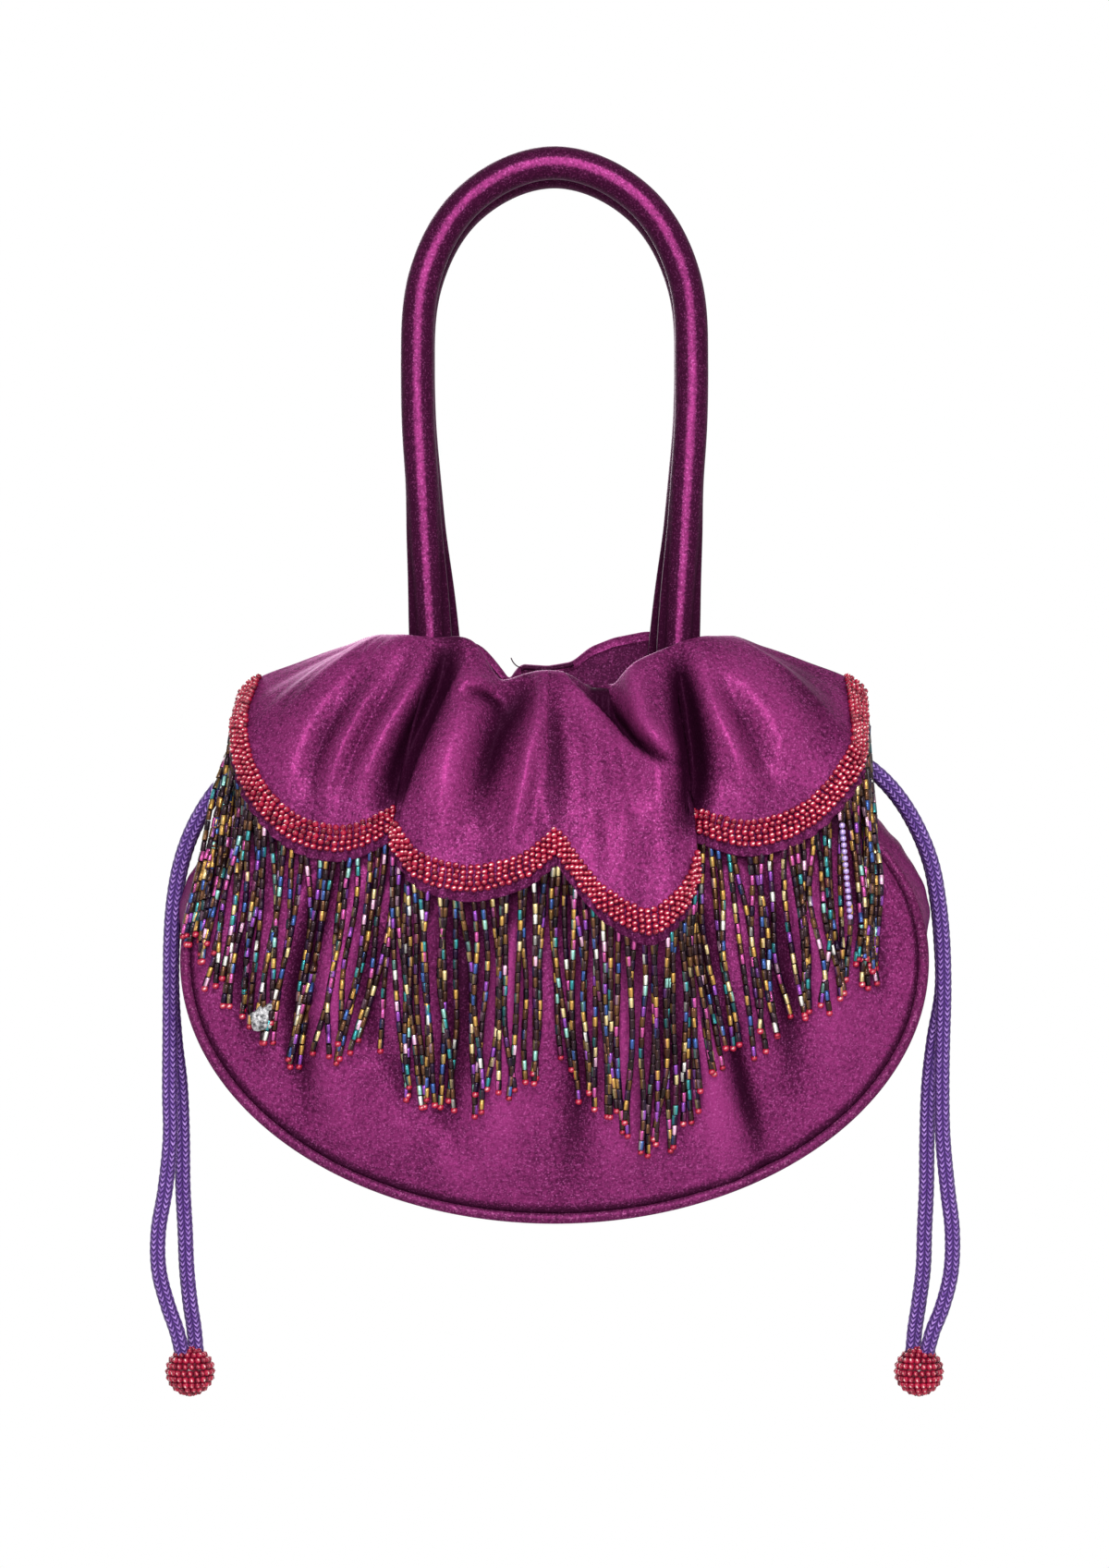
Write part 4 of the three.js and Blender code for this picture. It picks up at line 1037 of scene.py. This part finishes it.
for name, side, sag, foot_in in [("front_handle", -1, 0, 0), ("back_handle", 1, BACK_SAG, BACK_FOOT_IN)]:
    shape = np.array(HANDLE_SHAPE)
    reach = shape[:, 0] * HANDLE_HALF_SPAN - foot_in * np.clip(1 - shape[:, 1] / 0.5, 0, 1)
    depth = HANDLE_FOOT[0] + (HANDLE_TOP_Y - HANDLE_FOOT[0]) * shape[:, 1]
    height = HANDLE_FOOT[1] + (HANDLE_RISE - sag) * shape[:, 1]
    up = np.stack([-reach, side * depth, height], -1)
    knots = np.concatenate([up, up[-2::-1] * (-1, 1, 1)])
    line = drawn_line(knots, 1500, HANDLE_RINGS)
    angle = around_angles(HANDLE_SIDES)
    low = 1 - eased(line[:, 2:], *WELT_SPAN)
    welt = np.exp(-(np.sin(angle) ** 2 - 1) ** 2 / WELT_EDGE) * low * WELT_WIDTH
    lumps = 1 + STUFFING_LUMPS * np.sin(3 * angle + 0.2 * line[:, 2:])
    rings = tube(line, HANDLE_RADIUS * (1 - FOOT_NARROWING * low) * lumps + welt, HANDLE_SIDES)
    gleam = HANDLE_GLEAM * np.exp(-((1 - np.abs(np.cos(angle))) / GLEAM_WIDTH) ** 2)
    seams = np.exp(-((np.abs(np.sin(angle)) - SEAM_AT) / SEAM_WIDTH) ** 2) * low
    shades = HANDLE_SHADE + gleam - seams
    shades = np.concatenate([shades[:1], shades, shades[-1:]])
    handle = sewn(name + "_satin", rings, satin, ring=True, fold_shades=shades)
    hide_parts(name)


# Bead band: five rows of red seed beads, sewn close together on the outside of the cloth just above
# the hem, which shows below them as a narrow soft roll. A band reaches the end of its scallop where
# the next scallop begins.
BAND_LOW = 3.8
BAND_HIGH = 10.4
BAND_ROWS = 5
BAND_PITCH = 2.05
BAND_LIFT = 1.5
BAND_START = 0.6
BAND_GLINT = 0.9
PLACE_STRAY = 0.09
TURN_STRAY = 0.12
FACE_STRAY = 0.25
SEED_RADIUS = 1.02
HEAD_ABOVE = 0.8
HEAD_INSIDE = 0.2
SCALLOP_NAMES = ("left_wing", "left", "right", "right_wing")


def cloth_normals(grid):
    """The unit normal at each point of a grid, from the cross product of its two directions."""
    return unit(np.cross(np.gradient(grid, axis=1), np.gradient(grid, axis=0)))


def above_hem(grid, distance):
    """Points and normals a distance up each column of a scallop, measured along the cloth.

    A point lies between the two rows that its distance falls between, by the share of the way.
    """
    upward = grid[::-1]
    normals = cloth_normals(grid)[::-1]
    steps = np.linalg.norm(np.diff(upward, axis=0), axis=-1)
    run = np.concatenate([np.zeros((1, grid.shape[1])), np.cumsum(steps, 0)])
    reach = np.clip((run < distance).sum(0), 1, len(grid) - 1)
    column = np.arange(grid.shape[1])
    below, above = run[reach - 1, column], run[reach, column]
    share = np.clip((distance - below) / np.maximum(above - below, 1e-6), 0, 1)[:, None]
    return upward[reach - 1, column] * (1 - share) + upward[reach, column] * share, normals[reach, column]


def outward(normals, side):
    """Normals turned so that they point away from the bag."""
    return normals * np.where(normals[:, 1:2] * side < 0, -1, 1)


hem_lines = {}
for (side, scallop), grid in scallops.items():
    place = f"{'front' if side < 0 else 'back'}_{SCALLOP_NAMES[scallop]}_bead_band"
    centres, axes, outs = [], [], []
    for row in range(BAND_ROWS):
        distance = BAND_LOW + (BAND_HIGH - BAND_LOW) * row / (BAND_ROWS - 1)
        points, normals = above_hem(grid, distance)
        normals = outward(normals, side)
        count = int(line_length(points) / BAND_PITCH)
        shares = (np.arange(count) + BAND_START) / (count - (1 - BAND_START if scallop < 3 else 0))
        spots = evenly(np.concatenate([points + normals * BAND_LIFT, normals], 1), shares)
        centres.append(spots[:, :3] + rng.normal(0, PLACE_STRAY, (count, 3)))
        upper, _ = above_hem(grid, distance + 1)
        axes.append(evenly(upper - points, shares) + rng.normal(0, TURN_STRAY, (count, 3)))
        outs.append(spots[:, 3:] + rng.normal(0, FACE_STRAY, (count, 3)))
    centres, axes, outs = np.concatenate(centres), np.concatenate(axes), np.concatenate(outs)
    band = strung(place + "_beads", SEED_FORM, centres, axes, outs, SEED_RADIUS * SEED_SQUASH, SEED_RADIUS,
                  rng.random(len(centres)) * TINT_SPREAD, red_glass, glint=BAND_GLINT)
    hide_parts(place)
    points, normals = above_hem(grid, HEAD_ABOVE)
    hem_lines[side, scallop] = points - outward(normals, side) * HEAD_INSIDE


# Fringe: strands of bugle beads hang from under the band, each ending in a red seed bead. The
# bugles are cut glass tubes, dark and metallic; their bloom of gold, green, blue and purple is
# painted as highlight stripes along the side that faces out.
BUGLE_LENGTH = 3.1
BUGLE_RADIUS = 0.92
BUGLE_SHARE = 0.48
STRAND_SPACING = 3.0
HEAD_STRAY = 0.35
DROP_STRAY = 2.2
DROP_SCATTER = (-0.07, 0.04)
SWAY = 2.2
HANG_OUT = 30
TIP_CLEAR = 2
STRAND_CLEAR = 1.7
CLEAR_SCATTER = 1.2
CLEAR_SHARE = 0.4
TIP_BELOW = 0.7
TIP_HALF = 0.95
TIP_RADIUS = 1.12
TIP_SPREAD = 0.4
TIP_GLINT = 0.6
# How far each scallop's strands reach sideways and down, from its left to its right.
DROPS = (
    [(-16, -73), (-7, -63), (-6, -60), (-9, -61), (-12, -64)],
    [(2, -71), (2, -69), (1, -63), (0, -63), (2, -59)],
    [(4, -66), (2, -63), (-1, -61), (0, -67), (8, -56)],
    [(10, -70), (5, -54), (3, -54), (1, -65), (-1, -80)],
)
BUGLE_BODIES = np.array([
    (0.006, 0.003, 0.006), (0.016, 0.007, 0.006), (0.035, 0.012, 0.006), (0.012, 0.003, 0.02)])
BUGLE_GLINTS = np.array([
    (0.03, 0.012, 0.02), (0.12, 0.05, 0.02), (0.55, 0.30, 0.07), (0.80, 0.62, 0.30), (0.03, 0.26, 0.28),
    (0.30, 0.62, 0.55), (0.04, 0.10, 0.32), (0.26, 0.06, 0.40), (0.52, 0.08, 0.30), (0.90, 0.52, 0.72),
    (0.95, 0.92, 0.86),
])
GLINT_SHARES = np.array([0.41, 0.20, 0.10, 0.035, 0.04, 0.025, 0.05, 0.05, 0.045, 0.025, 0.02])
SECOND_GLINT = 0.3
BUGLE_FORM = bead_form(6, [(-1, 0.72), (-0.92, 1), (0.92, 1), (1, 0.72)])
# A painted highlight stripe runs along the side of a bugle that faces out, and a weaker one along
# the next.
stripe = BUGLE_FORM[0][:, 1] > CROWN
beside = (BUGLE_FORM[0][:, 1] > 0.3) & (BUGLE_FORM[0][:, 2] > 0)
on_tube = np.abs(BUGLE_FORM[0][:, 0]) < CROWN
stripe, beside = (on_tube & stripe)[None, :, None], (on_tube & beside & ~stripe)[None, :, None]

bugle_finish = Finish(bpy.data.materials.new("bugle_glass"))
bloom_and_glint = bugle_finish.node("ShaderNodeAttribute", {"attribute_name": "tint_and_glint"}, {})
cut_glass = bugle_finish.node("ShaderNodeBsdfPrincipled", {}, {
    "Base Color": bloom_and_glint, "Metallic": 0.4, "Roughness": 0.22, "Specular IOR Level": 0.12,
    "Coat Weight": 0.12, "Coat Roughness": 0.05})
bugle_finish.node("ShaderNodeOutputMaterial", {}, {"Surface": cut_glass})


def belly_depth(x, z, side):
    """How far the cloth of the panel stands out at each place seen from the front.

    It is the depth of the nearest point among every fourth row and column of the panel's grid.
    """
    cloth = panels[side][::4, ::4].reshape(-1, 3)
    near = np.argmin((cloth[:, 0] - x[:, None]) ** 2 + (cloth[:, 2] - z[:, None]) ** 2, 1)
    return np.abs(cloth[near, 1])


for (side, scallop), line in hem_lines.items():
    place = f"{'front' if side < 0 else 'back'}_{SCALLOP_NAMES[scallop]}_fringe"
    count = int(line_length(line) / STRAND_SPACING)
    shares = (np.arange(count) + 0.5 + rng.uniform(-HEAD_STRAY, HEAD_STRAY, count)) / count
    shares = np.clip(shares, 0.015, 0.985)
    heads = evenly(line, shares)
    quarters = np.linspace(0, 1, 5)
    drops = np.stack([np.interp(shares, quarters, reach) for reach in np.transpose(DROPS[scallop])], -1)
    drops[:, 0] += rng.normal(0, DROP_STRAY, count)
    drops[:, 1] *= 1 + rng.uniform(*DROP_SCATTER, count)
    centres, axes, tints_and_glints, tips = [], [], [], []
    for head, drop in zip(heads, drops):
        steps = int(abs(drop[1]) / BUGLE_LENGTH)
        t = np.linspace(0, 1, steps + 1)
        bend = rng.uniform(-SWAY, SWAY, 2)
        sway = bend[0] * np.sin(np.pi * t) + 0.35 * bend[1] * np.sin(3 * np.pi * t + bend[0])
        x = head[0] + drop[0] * t ** 1.25 + sway
        z = head[2] + drop[1] * t
        out = np.abs(head[1])
        hang = out + (np.maximum(belly_depth(x[-1:], z[-1:], side) + TIP_CLEAR, HANG_OUT) - out) * t
        clear = belly_depth(x, z, side) + STRAND_CLEAR + rng.uniform(0, CLEAR_SCATTER)
        y = side * np.maximum(hang, clear * eased(t, 0, CLEAR_SHARE))
        strand = np.stack([x, y, z], -1)
        centres.append((strand[1:] + strand[:-1]) / 2)
        axes.append(np.diff(strand, axis=0))
        bodies = BUGLE_BODIES[rng.integers(0, len(BUGLE_BODIES), steps)]
        glints = BUGLE_GLINTS[rng.choice(len(BUGLE_GLINTS), steps, p=GLINT_SHARES)]
        seconds = BUGLE_GLINTS[rng.choice(len(BUGLE_GLINTS), steps, p=GLINT_SHARES)] * SECOND_GLINT
        tinted = np.where(stripe, glints[:, None], bodies[:, None])
        tints_and_glints.append(np.where(beside, seconds[:, None], tinted))
        tips.append(strand[-1] - (0, 0, TIP_BELOW))
    centres, axes, tints_and_glints = np.concatenate(centres), np.concatenate(axes), np.concatenate(tints_and_glints)
    halves = np.linalg.norm(axes, axis=1) * BUGLE_SHARE
    outs = (0, side, 0) + rng.normal(0, 0.5, (len(centres), 3))
    bugles = strung(place + "_bugles", BUGLE_FORM, centres, axes, outs, halves, BUGLE_RADIUS, tints_and_glints,
                    bugle_finish)
    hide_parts(place)
    tips = np.array(tips)
    ends = strung(place + "_tips", SEED_FORM, tips, tips * 0 + (0, 0, 1), tips * 0 + (0, side, 0), TIP_HALF,
                  TIP_RADIUS, rng.random(len(tips)) * TIP_SPREAD, red_glass, glint=TIP_GLINT)


# Odd strand: one strand of pale lilac seed beads hangs among the bugles of the right wing.
LILAC = (0.42, 0.30, 0.62)
LILAC_HEAD = (88.0, -202.0)
LILAC_TIP = (90.5, -230.0)
LILAC_BEADS = 15
LILAC_HEAD_OUT = 41.5
LILAC_TIP_CLEAR = 4
t = np.linspace(0, 1, LILAC_BEADS)
x = LILAC_HEAD[0] + (LILAC_TIP[0] - LILAC_HEAD[0]) * t
z = LILAC_HEAD[1] + (LILAC_TIP[1] - LILAC_HEAD[1]) * t
tip_out = belly_depth(x[-1:], z[-1:], -1)[0] + LILAC_TIP_CLEAR
strand = np.stack([x, -np.interp(t, [0, 1], [LILAC_HEAD_OUT, tip_out]), z], -1)
lilac = strung("lilac_strand", SEED_FORM, strand, strand * 0 + (0, 0, 1), strand * 0 + (0, -1, 0),
               SEED_SQUASH, 1.0, np.tile(LILAC, (LILAC_BEADS, 1)), bugle_finish)

# Charm: a small cast leaf of silvery metal with a round stud, tied among the left wing's strands.
# It is solid and crowned, and lies flat against the bugles.
CHARM_TOP = (-86.2, -256.0)
CHARM_TIP = (-92.2, -265.0)
CHARM_WIDTH = 3.6
CHARM_THICK = 0.9
CHARM_OUT = 3.2
STUD_RADIUS = 1.2
CHARM_RINGS = 28
STUD_RING = 5
CHARM_SCALLOPS = 0.12
CHARM_DARK = (0.02, 0.02, 0.025, 1)
CHARM_BRIGHT = (0.42, 0.41, 0.42, 1)
silver = Finish(bpy.data.materials.new("charm_metal"))
place = silver.node("ShaderNodeTexCoord", {}, {}, "Object")
wear = silver.node("ShaderNodeTexNoise", {}, {"Vector": place, "Scale": 900, "Detail": 3})
cast = silver.blend(wear * 3.2 - 1.1, CHARM_DARK, CHARM_BRIGHT)
beaten = silver.node("ShaderNodeBump", {}, {"Height": wear, "Strength": 0.8, "Distance": 0.0006})
metal = silver.node("ShaderNodeBsdfPrincipled", {}, {
    "Base Color": cast, "Metallic": 0.45, "Roughness": 0.3 + wear * 0.2, "Normal": beaten})
silver.node("ShaderNodeOutputMaterial", {}, {"Surface": metal})
t = np.linspace(0, 1, CHARM_RINGS)
spine = np.array(CHARM_TOP) + (np.array(CHARM_TIP) - CHARM_TOP) * t[:, None]
depth = -(belly_depth(spine[:, 0], spine[:, 1], -1).mean() + CHARM_OUT)
line = np.stack([spine[:, 0], np.full(CHARM_RINGS, depth), spine[:, 1]], -1)
angle = around_angles(20)
width = CHARM_WIDTH * np.sin(np.pi * t ** 1.4) ** 0.8 * (1 + CHARM_SCALLOPS * np.cos(6 * np.pi * t))
flat_way = unit(np.array([CHARM_TOP[1] - CHARM_TIP[1], 0, CHARM_TIP[0] - CHARM_TOP[0]]))
leaf = (line[:, None] + flat_way * (width[:, None] * np.cos(angle))[..., None]
        + np.array([0, 1, 0]) * (CHARM_THICK * np.sin(np.pi * t)[:, None] ** 0.5 * np.sin(angle))[..., None])
charm = sewn("charm_leaf", leaf, silver, ring=True)
stud_centre = line[STUD_RING] - (0, CHARM_THICK, 0)
stud = sewn("charm_stud", sphere(stud_centre, STUD_RADIUS), silver, ring=True)


bpy.context.view_layer.update()
